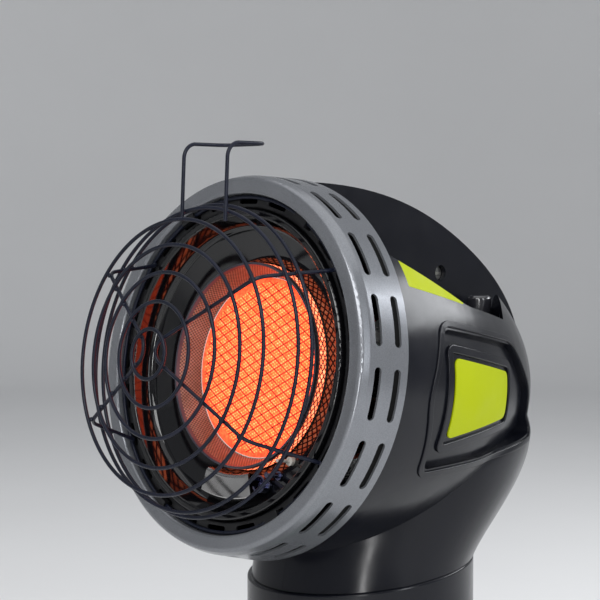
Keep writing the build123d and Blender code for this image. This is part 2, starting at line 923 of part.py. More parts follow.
def push_button(side):
    """Button with a domed top, standing in one of the grips."""
    place = (side * button_x, button_y)
    with BuildPart() as button:
        with BuildSketch(Plane.XY.offset(button_foot)):
            with Locations(place):
                Circle(button_radius)
        extrude(amount=button_top - button_foot)
        fillet(button.edges().group_by(Axis.Z)[-1], button_radius / 3)
        with BuildSketch(Plane.XY.offset(button_foot)):
            with Locations(place):
                Circle(flange_radius)
        extrude(amount=flange_top - button_foot)
    return button.part


def switch_barrel(side, bottom):
    """Switch body with a bore for the button's flange and its travel."""
    place = (side * button_x, button_y)
    with BuildPart() as barrel:
        with BuildSketch(Plane.XY.offset(bottom)):
            with Locations(place):
                Circle(barrel_radius)
        extrude(amount=barrel_top - bottom)
        with BuildSketch(Plane.XY.offset(button_foot - button_travel - gap)):
            with Locations(place):
                Circle(flange_radius + gap)
        extrude(amount=bulb_radius, mode=Mode.SUBTRACT)
    return barrel.part


with BuildPart() as start_button:
    add(push_button(1))
save(start_button, "start_button")

with BuildPart() as off_button:
    add(push_button(-1))
save(off_button, "off_button")

with BuildPart() as piezo_igniter:
    add(switch_barrel(1, igniter_bottom))
save(piezo_igniter, "piezo_igniter")

with BuildPart() as shutoff_switch:
    add(switch_barrel(-1, shutoff_bottom))
save(shutoff_switch, "shutoff_switch")

# ------------------------------------------------------------------- gas train
thread_bore = thread_radius + thread_clearance
cylinder_bottom = foot_floor + seat
cylinder_top = cylinder_bottom + cylinder_height

with BuildPart() as inlet_nut:
    with BuildSketch(Plane.XY.offset(nut_bottom)):
        RegularPolygon(nut_radius, 12)
    extrude(amount=nut_top - nut_bottom)
    with BuildSketch(Plane.XY.offset(nut_bottom)):
        Circle(thread_bore)
    extrude(amount=nut_top - nut_roof - nut_bottom, mode=Mode.SUBTRACT)
    with BuildSketch(Plane.XY.offset(nut_bottom)):
        Circle(seal_bore / 2)
    extrude(amount=nut_top - nut_bottom, mode=Mode.SUBTRACT)
save(inlet_nut, "inlet_nut")

with BuildPart() as inlet_seal:
    with BuildSketch(Plane.XY.offset(cylinder_top + seat)):
        Circle(thread_radius - gap)
        Circle(seal_bore, mode=Mode.SUBTRACT)
    extrude(amount=seal_height)
save(inlet_seal, "inlet_seal")

with BuildPart() as regulator_plate:
    with BuildSketch(Plane.XY.offset(nut_top - seat)):
        Circle(2 * collar_radius)
        Circle(nut_radius + seat, mode=Mode.SUBTRACT)
    extrude(amount=-plate_wall)
    add(neck_solid(shell + seat), mode=Mode.INTERSECT)
save(regulator_plate, "regulator_plate")

cover_bottom = nut_top + regulator_height
block_bottom = cover_bottom + cover_height
with BuildPart() as regulator_body:
    with BuildSketch(Plane.XY.offset(nut_top)):
        Circle(regulator_radius)
    extrude(amount=regulator_height - seat)
    chamfer(regulator_body.edges().group_by(Axis.Z)[0], 3.0)
save(regulator_body, "regulator_body")

with BuildPart() as regulator_cover:
    with BuildSketch(Plane.XY.offset(cover_bottom)):
        Circle(cover_radius)
    extrude(amount=cover_height - seat)
    chamfer(regulator_cover.edges().group_by(Axis.Z)[-1], 2.5)
save(regulator_cover, "regulator_cover")

with BuildPart() as valve_block:
    with BuildSketch(Plane.XY.offset(block_bottom)):
        with Locations((0, (block_front + block_back) / 2)):
            Rectangle(block_size, block_back - block_front)
    extrude(amount=block_top - block_bottom)
    split(bisect_by=head_face.offset(tube_back - seat), keep=Keep.BOTTOM)
    chamfer(valve_block.edges().filter_by(Axis.Z).sort_by(Axis.Y)[-2:], 2.0)
save(valve_block, "valve_block")

with BuildPart() as tip_over_switch:
    with BuildSketch(Plane.XY.offset(nut_top)):
        with Locations(tip_switch_place):
            RectangleRounded(tip_switch_size[0], tip_switch_size[1], 2.0)
    extrude(amount=tip_switch_size[2])
save(tip_over_switch, "tip_over_switch")

# Pipe and leads from the pilot unit to the valve block and the igniter
pipe_start = pilot_back - seat
with BuildPart() as pilot_pipe:
    add(
        bent_wire(
            (
                head_point(*pilot_place, pipe_start),
                head_point(*pilot_place, pipe_start - 24),
                Vector(26, -6, block_bottom + 8),
                Vector(block_size / 2 + seat, -6, block_bottom + 8),
            ),
            6.0,
            pipe_radius,
        )
    )
save(pilot_pipe, "pilot_pipe")

with BuildPart() as thermocouple_lead:
    add(
        bent_wire(
            (
                head_point(*probe_place, pipe_start),
                head_point(*probe_place, pipe_start - 22),
                Vector(30, 4, block_bottom + 18),
                Vector(block_size / 2 + seat, 4, block_bottom + 18),
            ),
            6.0,
            lead_radius,
        )
    )
save(thermocouple_lead, "thermocouple_lead")

with BuildPart() as igniter_lead:
    add(
        bent_wire(
            (
                head_point(*electrode_place, pipe_start),
                head_point(*electrode_place, pipe_start - 12),
                Vector(50, 4, igniter_bottom - 6),
                Vector(button_x, button_y, igniter_bottom - 12),
                Vector(button_x, button_y, igniter_bottom - seat),
            ),
            (6.0, 12.0, 3.0),
            lead_radius,
        )
    )
save(igniter_lead, "igniter_lead")

# -------------------------------------------------------------------- cylinder
cylinder_points = (
    (0, cylinder_bottom + cylinder_dome),
    (cylinder_radius - 10, cylinder_bottom + cylinder_dome),
    (cylinder_radius - 8, cylinder_bottom),
    (cylinder_radius, cylinder_bottom),
    (cylinder_radius, cylinder_shoulder),
    (cylinder_neck, neck_bottom),
    (valve_bore, neck_bottom),
)
neck_points = (
    (valve_bore, neck_bottom - neck_sink),
    (cylinder_neck, neck_bottom - neck_sink),
    (cylinder_neck, neck_top),
    (thread_radius, neck_top),
    (thread_radius, cylinder_top),
    (valve_bore, cylinder_top),
)
with BuildPart() as fuel_cylinder:
    add(
        sheet_section(
            cylinder_points, (2.0, 2.0, 4.5, 16.0, 4.0), cylinder_wall, Side.LEFT, Plane.XZ
        )
    )
    revolve(axis=Axis.Z)
    add(polygon_section(neck_points, Plane.XZ))
    revolve(axis=Axis.Z)
    chamfer(fuel_cylinder.edges().group_by(Axis.Z)[-1].sort_by(SortBy.RADIUS)[-1], 0.8)
save(fuel_cylinder, "fuel_cylinder")

with BuildPart() as cylinder_valve:
    with BuildSketch(Plane.XY.offset(neck_top)):
        Circle(valve_bore - seat)
    extrude(amount=cylinder_top - neck_top - valve_recess)
    with BuildSketch(Plane.XY.offset(cylinder_top - valve_recess)):
        Circle(0.3 * valve_bore)
    extrude(amount=-1.5 * valve_bore, mode=Mode.SUBTRACT)
save(cylinder_valve, "cylinder_valve")

# ------------------------------------------------------------------------ foot
socket_bore = cylinder_radius + gap
socket_outer = socket_bore + socket_wall
skirt_inner = foot_radius - foot_wall
foot_points = (
    (0, 0),
    (foot_disc, 0),
    (foot_disc, cone_top - 1.2 * foot_wall - 0.5),
    (skirt_inner, cone_edge - 1.1 * foot_wall),
    (skirt_inner, 0),
    (foot_radius, 0),
    (foot_radius, cone_edge - 2.0),
    (foot_radius - 2.5, cone_edge),
    (socket_outer, cone_top),
    (socket_outer, socket_top),
    (socket_bore, socket_top),
    (socket_bore, foot_floor),
    (0, foot_floor),
)
pad_inner = skirt_inner - pad_width
with BuildPart() as base_foot:
    add(polygon_section(foot_points, Plane.XZ))
    revolve(axis=Axis.Z)
    rib_planes = [Plane.XZ.rotated((0, 0, rib * 360 / foot_ribs)) for rib in range(foot_ribs)]
    with BuildSketch(*rib_planes):
        with BuildLine():
            Polyline(
                (foot_disc - 1, 0),
                (pad_inner - gap, 0),
                (pad_inner - gap, cone_edge),
                (foot_disc - 1, cone_top - foot_wall),
                close=True,
            )
        make_face()
    extrude(amount=rib_wall / 2, both=True)
save(base_foot, "base_foot")

with BuildPart() as foot_ring:
    with BuildSketch(Plane.XY):
        Circle(skirt_inner - seat)
        Circle(pad_inner, mode=Mode.SUBTRACT)
    extrude(amount=pad_height)
save(foot_ring, "foot_ring")
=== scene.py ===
"""Looks of the portable radiant propane heater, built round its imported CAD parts.

Metres, +Z up, and the heater faces -Y.  The origin is the centre of the foot's
underside.  The head looks slightly upward, and its own frame is across, up and
forward from the centre of the bezel's front face.
"""

import json
import logging
import math
import sys
from collections.abc import Callable, Sequence
from dataclasses import dataclass
from enum import Enum
from typing import Protocol

import bpy
from mathutils import Matrix, Vector

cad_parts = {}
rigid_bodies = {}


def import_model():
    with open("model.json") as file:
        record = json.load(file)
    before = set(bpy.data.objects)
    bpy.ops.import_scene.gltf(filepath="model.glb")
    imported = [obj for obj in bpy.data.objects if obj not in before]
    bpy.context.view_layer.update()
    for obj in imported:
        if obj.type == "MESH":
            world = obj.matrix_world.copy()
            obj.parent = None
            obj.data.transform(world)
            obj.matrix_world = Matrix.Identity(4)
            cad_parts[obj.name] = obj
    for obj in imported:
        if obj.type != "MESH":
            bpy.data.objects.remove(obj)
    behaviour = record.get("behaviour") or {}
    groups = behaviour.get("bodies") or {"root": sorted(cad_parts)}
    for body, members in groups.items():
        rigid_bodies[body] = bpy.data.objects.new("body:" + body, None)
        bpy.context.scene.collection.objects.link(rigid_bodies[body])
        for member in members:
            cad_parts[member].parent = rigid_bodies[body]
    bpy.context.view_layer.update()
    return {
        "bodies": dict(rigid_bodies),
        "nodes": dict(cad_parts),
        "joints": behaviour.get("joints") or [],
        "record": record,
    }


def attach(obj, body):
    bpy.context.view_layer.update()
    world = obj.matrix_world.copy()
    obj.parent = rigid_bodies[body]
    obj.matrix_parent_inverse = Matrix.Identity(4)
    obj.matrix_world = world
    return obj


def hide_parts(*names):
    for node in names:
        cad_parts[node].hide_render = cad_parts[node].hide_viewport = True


log = logging.getLogger("heater")

Piece = bpy.types.Object
Material = bpy.types.Material
Socket = bpy.types.NodeSocket
Colour = tuple[float, float, float]


# ------------------------------------------------------------------ small tools
def deselect_all() -> None:
    """Leave nothing selected and nothing active."""
    bpy.ops.object.select_all(action="DESELECT")
    bpy.context.view_layer.objects.active = None


def take(*pieces: Piece) -> None:
    """Select only these pieces.

    Args:
        *pieces: What is selected, the first of them active.
    """
    deselect_all()
    for piece in pieces:
        piece.select_set(True)
    bpy.context.view_layer.objects.active = pieces[0]


def settle(piece: Piece, place: Matrix) -> None:
    """Put a piece at its place and move that place into its mesh.

    Args:
        piece: The piece, modelled round its own origin.
        place: Where the piece's own frame lies in the heater's frame.
    """
    piece.matrix_world = place @ piece.matrix_world
    take(piece)
    bpy.ops.object.transform_apply(location=True, rotation=True, scale=True)


def join(pieces: list[Piece], name: str) -> Piece:
    """Join pieces into one.

    Args:
        pieces: What is joined.
        name: Name of the result.

    Returns:
        The joined piece.
    """
    take(*pieces)
    bpy.ops.object.join()
    joined = bpy.context.view_layer.objects.active
    joined.name = name
    joined.data.name = name
    return joined


def fresh(name: str) -> Piece:
    """Name the primitive that was just added.

    Args:
        name: Name of its object and of its mesh.

    Returns:
        The primitive.
    """
    piece = bpy.context.view_layer.objects.active
    piece.name = name
    piece.data.name = name
    return piece


class Pick(Enum):
    """What an edit works on."""

    VERTICES = "VERT"
    EDGES = "EDGE"
    FACES = "FACE"


def edit(piece: Piece, pick: Pick = Pick.FACES) -> None:
    """Open a piece in edit mode, with all of it selected.

    Args:
        piece: The piece, in object mode.
        pick: What the edit works on.
    """
    take(piece)
    bpy.ops.object.mode_set(mode="EDIT")
    bpy.ops.mesh.select_mode(type=pick.value)
    bpy.ops.mesh.select_all(action="SELECT")


def close_edit() -> None:
    """Go back to object mode."""
    bpy.ops.object.mode_set(mode="OBJECT")


def clear_pick(piece: Piece, pick: Pick) -> None:
    """Leave nothing of a piece selected, in object mode.

    Args:
        piece: The piece, in object mode.
        pick: What is then selected in code.
    """
    edit(piece, pick)
    bpy.ops.mesh.select_all(action="DESELECT")
    close_edit()


def push_in(thickness: float, depth: float, each: bool = True) -> None:
    """Inset the selected faces and move them along their normals.

    Args:
        thickness: Width of the border that is left round them.
        depth: How far they move, outward if positive.
        each: Whether every face gets its own border.
    """
    bpy.ops.mesh.inset(thickness=thickness, depth=depth, use_individual=each)


def pick_faces(piece: Piece, test: Callable[[bpy.types.MeshPolygon], bool]) -> int:
    """Select exactly the faces of a piece that pass a test, and go to edit mode.

    Args:
        piece: The piece, in object mode.
        test: Whether a face is wanted.

    Returns:
        How many faces are selected.
    """
    clear_pick(piece, Pick.FACES)
    count = 0
    for face in piece.data.polygons:
        face.select = test(face)
        count += face.select
    bpy.ops.object.mode_set(mode="EDIT")
    return count


def pick_edges(piece: Piece, test: Callable[[Vector, Vector], bool]) -> None:
    """Select exactly the edges whose two ends pass a test, and go to edit mode.

    Args:
        piece: The piece, in object mode.
        test: Whether an edge between two points is wanted.
    """
    clear_pick(piece, Pick.EDGES)
    points = piece.data.vertices
    for edge in piece.data.edges:
        first, last = edge.vertices
        edge.select = test(points[first].co, points[last].co)
    bpy.ops.object.mode_set(mode="EDIT")


def pick_open_edges(wires: bool) -> None:
    """Select only the edges that bound the sheet in edit mode.

    Args:
        wires: Whether edges without faces are selected too.
    """
    bpy.ops.mesh.select_all(action="DESELECT")
    bpy.ops.mesh.select_non_manifold(
        extend=False,
        use_wire=wires,
        use_boundary=True,
        use_multi_face=False,
        use_non_contiguous=False,
        use_verts=False,
    )


def face_outward() -> None:
    """Turn all faces of the piece in edit mode outward."""
    bpy.ops.mesh.select_all(action="SELECT")
    bpy.ops.mesh.normals_make_consistent(inside=False)


def set_material(piece: Piece, *materials: Material) -> None:
    """Give a piece its materials.

    Args:
        piece: A new piece or a CAD node.
        *materials: What it gets, in the order of its slots.
    """
    piece.data.materials.clear()
    for material in materials:
        piece.data.materials.append(material)


def mount(piece: Piece, body: str, slot: str, *stands_for: str) -> None:
    """Let a new piece ride on a body, and hide the CAD nodes that it replaces.

    Args:
        piece: The finished piece.
        body: CAD body that it moves with.
        slot: The record's material slot; not used.
        *stands_for: CAD nodes that it replaces.
    """
    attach(piece, body)
    if stands_for:
        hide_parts(*stands_for)
    log.info("%s: %d faces on %s", piece.name, len(piece.data.polygons), body)


# ---------------------------------------------------------------- the head's frame
def frame_at(origin: Vector, across: Vector, up: Vector, out: Vector) -> Matrix:
    """Place of a frame.

    Args:
        origin: Its origin.
        across: Direction of its X axis.
        up: Direction of its Y axis.
        out: Direction of its Z axis.

    Returns:
        The place, for settle.
    """
    turn = Matrix((across, up, out)).transposed()
    return Matrix.Translation(origin) @ turn.to_4x4()


@dataclass(frozen=True)
class HeadFrame:
    """Frame of the head: across, up and forward from the bezel's front centre."""

    tilt: float = math.radians(7.8)
    centre: Vector = Vector((0.0, -0.0954, 0.280))

    @property
    def forward(self) -> Vector:
        """Direction in which the burner looks."""
        return Vector((0.0, -math.cos(self.tilt), math.sin(self.tilt)))

    @property
    def upward(self) -> Vector:
        """Direction across the head axis that points up."""
        return Vector((0.0, math.sin(self.tilt), math.cos(self.tilt)))

    @property
    def matrix(self) -> Matrix:
        """Place of the head's frame, with X across, Y up and Z forward."""
        return frame_at(self.centre, Vector((1.0, 0.0, 0.0)), self.upward, self.forward)

    def outward(self, angle: float) -> Vector:
        """Direction across the axis, at an angle in degrees from the top towards +X."""
        turn = math.radians(angle)
        return Vector((math.sin(turn), 0.0, 0.0)) + self.upward * math.cos(turn)

    def point(self, angle: float, radius: float, ahead: float) -> Vector:
        """Point at an angle in degrees from the top, a radius and a forward place."""
        return self.centre + self.outward(angle) * radius + self.forward * ahead


HEAD = HeadFrame()


# --------------------------------------------------------------------- finishes
def write_values(node: bpy.types.Node, values: dict[str, float | Sequence[float]]) -> None:
    """Set plain values on a node's sockets, by names with underscores for spaces."""
    for key, value in values.items():
        node.inputs[key.replace("_", " ")].default_value = value


class Graph:
    """Node graph of one material, written down call by call."""

    def __init__(self, name: str) -> None:
        """Start a material with a Principled shader and the object's own coordinates.

        Args:
            name: The material's name.
        """
        self.material = bpy.data.materials.new(name)
        self.material.use_nodes = True
        self.tree = self.material.node_tree
        self.tree.nodes.clear()
        output = self.node("OutputMaterial")
        self.shader = self.node("BsdfPrincipled")
        self.join_up(self.shader.outputs["BSDF"], output.inputs["Surface"])
        self.place = self.node("TexCoord").outputs["Object"]

    def node(self, kind: str, **values: float | Sequence[float]) -> bpy.types.Node:
        """Add a node.

        Args:
            kind: Its type, without the words that all types start with.
            **values: Plain values by socket name.

        Returns:
            The node.
        """
        node = self.tree.nodes.new(f"ShaderNode{kind}")
        write_values(node, values)
        return node

    def join_up(self, source: Socket | Colour | float, target: Socket) -> None:
        """Link a source to a socket, or write a plain value on the socket.

        Args:
            source: Another node's output, or a number or colour.
            target: The socket that takes it.
        """
        if isinstance(source, Socket):
            self.tree.links.new(source, target)
        elif isinstance(source, tuple):
            target.default_value = (*source, 1.0)
        else:
            target.default_value = source

    def fixed(self, **values: float) -> None:
        """Set plain values on the shader's own sockets, by socket name."""
        write_values(self.shader, values)

    def feed(self, socket: str, source: Socket) -> None:
        """Link a source to one of the shader's sockets."""
        self.join_up(source, self.shader.inputs[socket])

    def stretched(self, scale: Colour, turn: Colour = (0.0, 0.0, 0.0)) -> Socket:
        """Object coordinates, turned and then stretched.

        Args:
            scale: Factors along the three axes.
            turn: Angles in degrees about the three axes.

        Returns:
            The mapped coordinates.
        """
        mapping = self.node("Mapping", Scale=scale, Rotation=[math.radians(a) for a in turn])
        self.join_up(self.place, mapping.inputs["Vector"])
        return mapping.outputs["Vector"]

    def in_head(self) -> dict[str, Socket]:
        """Object coordinates in the head's frame.

        Returns:
            The places across (X), up (Y) and forward (Z).
        """
        place = HEAD.matrix.inverted()
        mapping = self.node("Mapping", Location=place.to_translation(), Rotation=place.to_euler())
        self.join_up(self.place, mapping.inputs["Vector"])
        parts = self.node("SeparateXYZ")
        self.join_up(mapping.outputs["Vector"], parts.inputs["Vector"])
        return {axis: parts.outputs[axis] for axis in "XYZ"}

    def noise(
        self,
        scale: float,
        detail: float = 3.0,
        along: Socket | None = None,
        roughness: float = 0.55,
    ) -> Socket:
        """Cloudy noise.

        Args:
            scale: Cells per metre.
            detail: Octaves.
            along: Coordinates, or None for the object's own.
            roughness: Weight of the finer octaves.

        Returns:
            The noise, from 0 to 1.
        """
        node = self.node("TexNoise", Scale=scale, Detail=detail, Roughness=roughness)
        self.join_up(along or self.place, node.inputs["Vector"])
        return node.outputs["Fac"]

    def cells(self, scale: float) -> Socket:
        """Fine cells, as in crazed glaze.

        Args:
            scale: Cells per metre.

        Returns:
            The distance to the nearest cell's middle.
        """
        node = self.node("TexVoronoi", Scale=scale)
        self.join_up(self.place, node.inputs["Vector"])
        return node.outputs["Distance"]

    def ramp(self, source: Socket, *stops: tuple[float, Colour | float]) -> Socket:
        """Colour or grey level from a value.

        Args:
            source: The value.
            *stops: Places from 0 to 1, each with a colour or a grey level.

        Returns:
            The colour.
        """
        node = self.node("ValToRGB")
        elements = node.color_ramp.elements
        while len(elements) < len(stops):
            elements.new(0.5)
        for element, (place, level) in zip(elements, stops):
            element.position = place
            shade = level if isinstance(level, tuple) else (level, level, level)
            element.color = (*shade, 1.0)
        self.join_up(source, node.inputs["Fac"])
        return node.outputs["Color"]

    def worn(self, scale: float, roughness: float, unevenness: float) -> None:
        """Let the shader's roughness wander.

        Args:
            scale: Cells per metre.
            roughness: Its middle.
            unevenness: Share by which it goes up and down.
        """
        smooth, rough = roughness * (1 - unevenness), roughness * (1 + unevenness)
        self.feed("Roughness", self.ramp(self.noise(scale), (0.3, smooth), (0.7, rough)))

    def math(self, operation: str, first: Socket, second: Socket | float = 0.0) -> Socket:
        """One arithmetic step.

        Args:
            operation: What is done, by the Math node's own name for it.
            first: First value.
            second: Second value, where the step has one.

        Returns:
            The result.
        """
        node = self.node("Math")
        node.operation = operation
        self.join_up(first, node.inputs[0])
        self.join_up(second, node.inputs[1])
        return node.outputs[0]

    def mix(
        self,
        share: Socket | float,
        first: Socket | Colour,
        second: Socket | Colour,
        blend: str = "MIX",
    ) -> Socket:
        """Mixture of two colours.

        Args:
            share: How much of the second shows.
            first: Colour where the share is 0.
            second: Colour where the share is 1.
            blend: How the second is laid on the first.

        Returns:
            The mixed colour.
        """
        node = self.node("Mix")
        node.data_type = "RGBA"
        node.blend_type = blend
        self.join_up(share, node.inputs["Factor"])
        for key, value in (("A", first), ("B", second)):
            self.join_up(value, next(s for s in node.inputs if s.name == key and s.type == "RGBA"))
        return next(s for s in node.outputs if s.type == "RGBA")

    def bump(self, height: Socket, depth: float) -> None:
        """Raise the surface by a height.

        Args:
            height: Value from 0 to 1.
            depth: What 1 stands for, in metres.
        """
        node = self.node("Bump", Strength=1.0, Distance=depth)
        self.join_up(height, node.inputs["Height"])
        self.feed("Normal", node.outputs["Normal"])


class Finish(Protocol):
    """Anything that a piece can be finished with."""

    def material(self) -> Material:
        """Make the finish's material."""


@dataclass(frozen=True)
class Paint:
    """Sprayed or baked paint on sheet steel or wire."""

    name: str
    colour: Colour
    deep: Colour
    roughness: float
    flake: float = 0.0
    orange_peel: float = 0.00004
    coat: float = 0.0
    coat_roughness: float = 0.08
    ior: float = 1.5
    unevenness: float = 0.15
    sparkle: float = 0.07
    cloud_scale: float = 38.0
    grain_scale: float = 1700.0
    wear_scale: float = 160.0
    peel_scale: float = 520.0

    def material(self) -> Material:
        """Paint with faint clouding, orange peel and, if it has any, metal flake.

        Returns:
            The material.
        """
        graph = Graph(self.name)
        cloud = graph.noise(self.cloud_scale, 4.0)
        fine = graph.noise(self.grain_scale, 2.0)
        tone = graph.mix(graph.ramp(cloud, (0.35, 0.0), (0.7, 1.0)), self.deep, self.colour)
        grains = graph.ramp(fine, (0.38, 1.0 - self.sparkle), (0.62, 1.0))
        graph.feed("Base Color", graph.mix(1.0, tone, grains, "MULTIPLY"))
        graph.worn(self.wear_scale, self.roughness, self.unevenness)
        graph.fixed(
            Metallic=self.flake,
            IOR=self.ior,
            Coat_Weight=self.coat,
            Coat_Roughness=self.coat_roughness,
        )
        graph.bump(graph.noise(self.peel_scale, 2.0), self.orange_peel)
        return graph.material


@dataclass(frozen=True)
class BowlEnamel:
    """Mirror enamel of the reflector bowl, whose steep wall is shaded a little steeper.

    The foot and the lip are the wall's two ends, by their forward place in the head.
    """

    name: str = "bowl_enamel"
    colour: Colour = (0.003, 0.003, 0.004)
    deep: Colour = (0.0021, 0.0021, 0.0028)
    roughness: float = 0.05
    unevenness: float = 0.2
    ior: float = 1.54
    foot: float = -0.0125
    lip: float = -0.0024
    steeper: float = math.radians(3.2)
    cloud_scale: float = 38.0
    wear_scale: float = 160.0

    def material(self) -> Material:
        """Enamel whose bump climbs from the wall's foot to its lip.

        Returns:
            The material.
        """
        graph = Graph(self.name)
        climb = graph.node("MapRange", From_Min=self.foot, From_Max=self.lip)
        graph.join_up(graph.in_head()["Z"], climb.inputs["Value"])
        cloud = graph.noise(self.cloud_scale, 4.0)
        graph.feed("Base Color", graph.ramp(cloud, (0.35, self.deep), (0.7, self.colour)))
        graph.worn(self.wear_scale, self.roughness, self.unevenness)
        graph.fixed(IOR=self.ior)
        graph.bump(climb.outputs["Result"], (self.lip - self.foot) * math.tan(self.steeper))
        return graph.material


@dataclass(frozen=True)
class Moulding:
    """Injection-moulded plastic, glossy or textured.

    Ahead of a place in the head's frame, where a pressed-on part covers it, it may be
    painted shade: almost black and matt.
    """

    name: str
    colour: Colour
    deep: Colour
    roughness: float
    grain: float = 0.00002
    grain_scale: float = 900.0
    coat: float = 0.0
    coat_roughness: float = 0.15
    ior: float = 1.5
    painted_shade_ahead_of: float = math.inf
    painted_shade_colour: Colour = (0.0008, 0.0008, 0.0008)
    flow_scale: float = 22.0
    mark_scale: float = 120.0
    wear_scale: float = 70.0

    def material(self) -> Material:
        """Plastic with flow clouding, a fine skin, and paler handling marks.

        Returns:
            The material.
        """
        graph = Graph(self.name)
        flow = graph.noise(self.flow_scale, 5.0)
        tone = graph.mix(graph.ramp(flow, (0.3, 0.0), (0.72, 1.0)), self.deep, self.colour)
        streaks = graph.stretched((1.0, 1.0, 6.0), (24.0, 12.0, 0.0))
        marks = graph.noise(self.mark_scale, 8.0, streaks, 0.7)
        pale = tuple(min(1.0, level * 1.6 + 0.008) for level in self.colour)
        tone = graph.mix(graph.ramp(marks, (0.66, 0.0), (0.85, 0.2)), tone, pale)
        wear = graph.noise(self.wear_scale, 5.0)
        rough = graph.ramp(wear, (0.3, self.roughness * 0.8), (0.75, self.roughness * 1.3))
        # painted shade: the plastic seen through the bezel's rear slots is made almost black and matt
        if self.painted_shade_ahead_of < math.inf:
            ahead = graph.math("GREATER_THAN", graph.in_head()["Z"], self.painted_shade_ahead_of)
            tone = graph.mix(ahead, tone, self.painted_shade_colour)
            rough = graph.mix(ahead, rough, (1.0, 1.0, 1.0))
        graph.feed("Base Color", tone)
        graph.feed("Roughness", rough)
        graph.fixed(Coat_Weight=self.coat, Coat_Roughness=self.coat_roughness, IOR=self.ior)
        graph.bump(graph.noise(self.grain_scale), self.grain)
        return graph.material


@dataclass(frozen=True)
class BareMetal:
    """Metal without paint: drawn, turned or brushed."""

    name: str
    colour: Colour
    stain: Colour
    roughness: float
    draw: Colour = (30.0, 30.0, 900.0)
    stained: float = 0.5
    stain_scale: float = 55.0
    line_depth: float = 0.00002

    def material(self) -> Material:
        """Metal with draw lines, and stains that come with heat and handling.

        Returns:
            The material.
        """
        graph = Graph(self.name)
        cloud = graph.noise(self.stain_scale, 6.0)
        share = graph.ramp(cloud, (0.42, 0.0), (0.75, self.stained))
        lines = graph.noise(1.0, 4.0, graph.stretched(self.draw))
        tone = graph.mix(share, self.colour, self.stain)
        shade = graph.ramp(lines, (0.3, 0.78), (0.7, 1.0))
        rough = graph.ramp(lines, (0.25, self.roughness * 0.7), (0.75, self.roughness * 1.3))
        graph.feed("Base Color", graph.mix(1.0, tone, shade, "MULTIPLY"))
        graph.feed("Roughness", rough)
        graph.fixed(Metallic=1.0)
        graph.bump(lines, self.line_depth)
        return graph.material


@dataclass(frozen=True)
class HotMesh:
    """Woven wire inside the burner cup, with a smoked ring round its mouth."""

    name: str = "woven_burner_wire"
    pitch: float = 0.0018
    around: float = 170.0
    mouth: float = -0.0137
    relief: float = 0.0002
    heat_scale: float = 70.0
    smoke_scale: float = 40.0
    dark_wire: Colour = (0.20, 0.21, 0.17)
    pale_wire: Colour = (0.34, 0.36, 0.32)
    between: Colour = (0.05, 0.045, 0.035)
    dark_smoke: Colour = (0.09, 0.085, 0.11)
    pale_smoke: Colour = (0.13, 0.125, 0.15)

    def material(self) -> Material:
        """Rows of fine wire along and around the cup, tinted by heat; smoked at the mouth.

        Returns:
            The material.
        """
        graph = Graph(self.name)
        parts = graph.in_head()
        angle = graph.math("ARCTAN2", parts["Y"], parts["X"])
        rows = graph.math("SINE", graph.math("MULTIPLY", parts["Z"], math.tau / self.pitch))
        files = graph.math("SINE", graph.math("MULTIPLY", angle, self.around))
        weave = graph.math("MULTIPLY", rows, files)
        weave = graph.math("MULTIPLY", graph.math("ADD", weave, 1.0), 0.5)
        heat = graph.ramp(graph.noise(self.heat_scale, 4.0), (0.35, 0.0), (0.7, 1.0))
        wire = graph.mix(heat, self.dark_wire, self.pale_wire)
        wire = graph.mix(graph.ramp(weave, (0.25, 0.8), (0.75, 0.0)), wire, self.between)
        mouth = graph.math("GREATER_THAN", parts["Z"], self.mouth)
        smoke = graph.noise(self.smoke_scale)
        smoke = graph.ramp(smoke, (0.3, self.dark_smoke), (0.7, self.pale_smoke))
        graph.feed("Base Color", graph.mix(mouth, wire, smoke))
        graph.feed("Roughness", graph.ramp(weave, (0.2, 0.5), (0.8, 0.32)))
        graph.fixed(Metallic=0.85)
        height = graph.math("MULTIPLY", weave, graph.math("SUBTRACT", mouth, 1.0))
        graph.bump(graph.math("ABSOLUTE", height), self.relief)
        return graph.material


@dataclass(frozen=True)
class Soft:
    """Rubber, silicone or mineral fibre."""

    name: str
    colour: Colour
    deep: Colour
    roughness: float
    grain: float
    grain_scale: float = 900.0
    sheen: float = 0.0

    def material(self) -> Material:
        """Dull surface with a grain and dusty high spots.

        Returns:
            The material.
        """
        graph = Graph(self.name)
        lie = graph.stretched((1.0, 1.0, 2.5), (0.0, 30.0, 15.0))
        fibre = graph.noise(self.grain_scale, 5.0, lie)
        graph.feed("Base Color", graph.ramp(fibre, (0.3, self.deep), (0.7, self.colour)))
        graph.feed("Roughness", graph.ramp(fibre, (0.3, self.roughness), (0.8, 0.98)))
        graph.fixed(Sheen_Weight=self.sheen, Sheen_Roughness=0.5)
        graph.bump(fibre, self.grain)
        return graph.material


@dataclass(frozen=True)
class Glaze:
    """Glazed porcelain, greyed by soot."""

    name: str = "glazed_porcelain"
    sooty: Colour = (0.34, 0.32, 0.28)
    clean: Colour = (0.50, 0.48, 0.44)
    soot_scale: float = 300.0
    crazing_scale: float = 900.0
    crazing: float = 0.00001

    def material(self) -> Material:
        """Glaze with faint crazing, and a browner tone where soot lies on it.

        Returns:
            The material.
        """
        graph = Graph(self.name)
        soot = graph.noise(self.soot_scale, 4.0)
        graph.feed("Base Color", graph.ramp(soot, (0.3, self.sooty), (0.6, self.clean)))
        graph.feed("Roughness", graph.ramp(soot, (0.3, 0.08), (0.8, 0.2)))
        graph.fixed(Coat_Weight=0.6, Coat_Roughness=0.05)
        graph.bump(graph.cells(self.crazing_scale), self.crazing)
        return graph.material


@dataclass(frozen=True)
class Glow:
    """Colours of a glowing surface, from its coolest grains to its hottest, and its ash."""

    dull: Colour
    warm: Colour
    hot: Colour
    ash: Colour


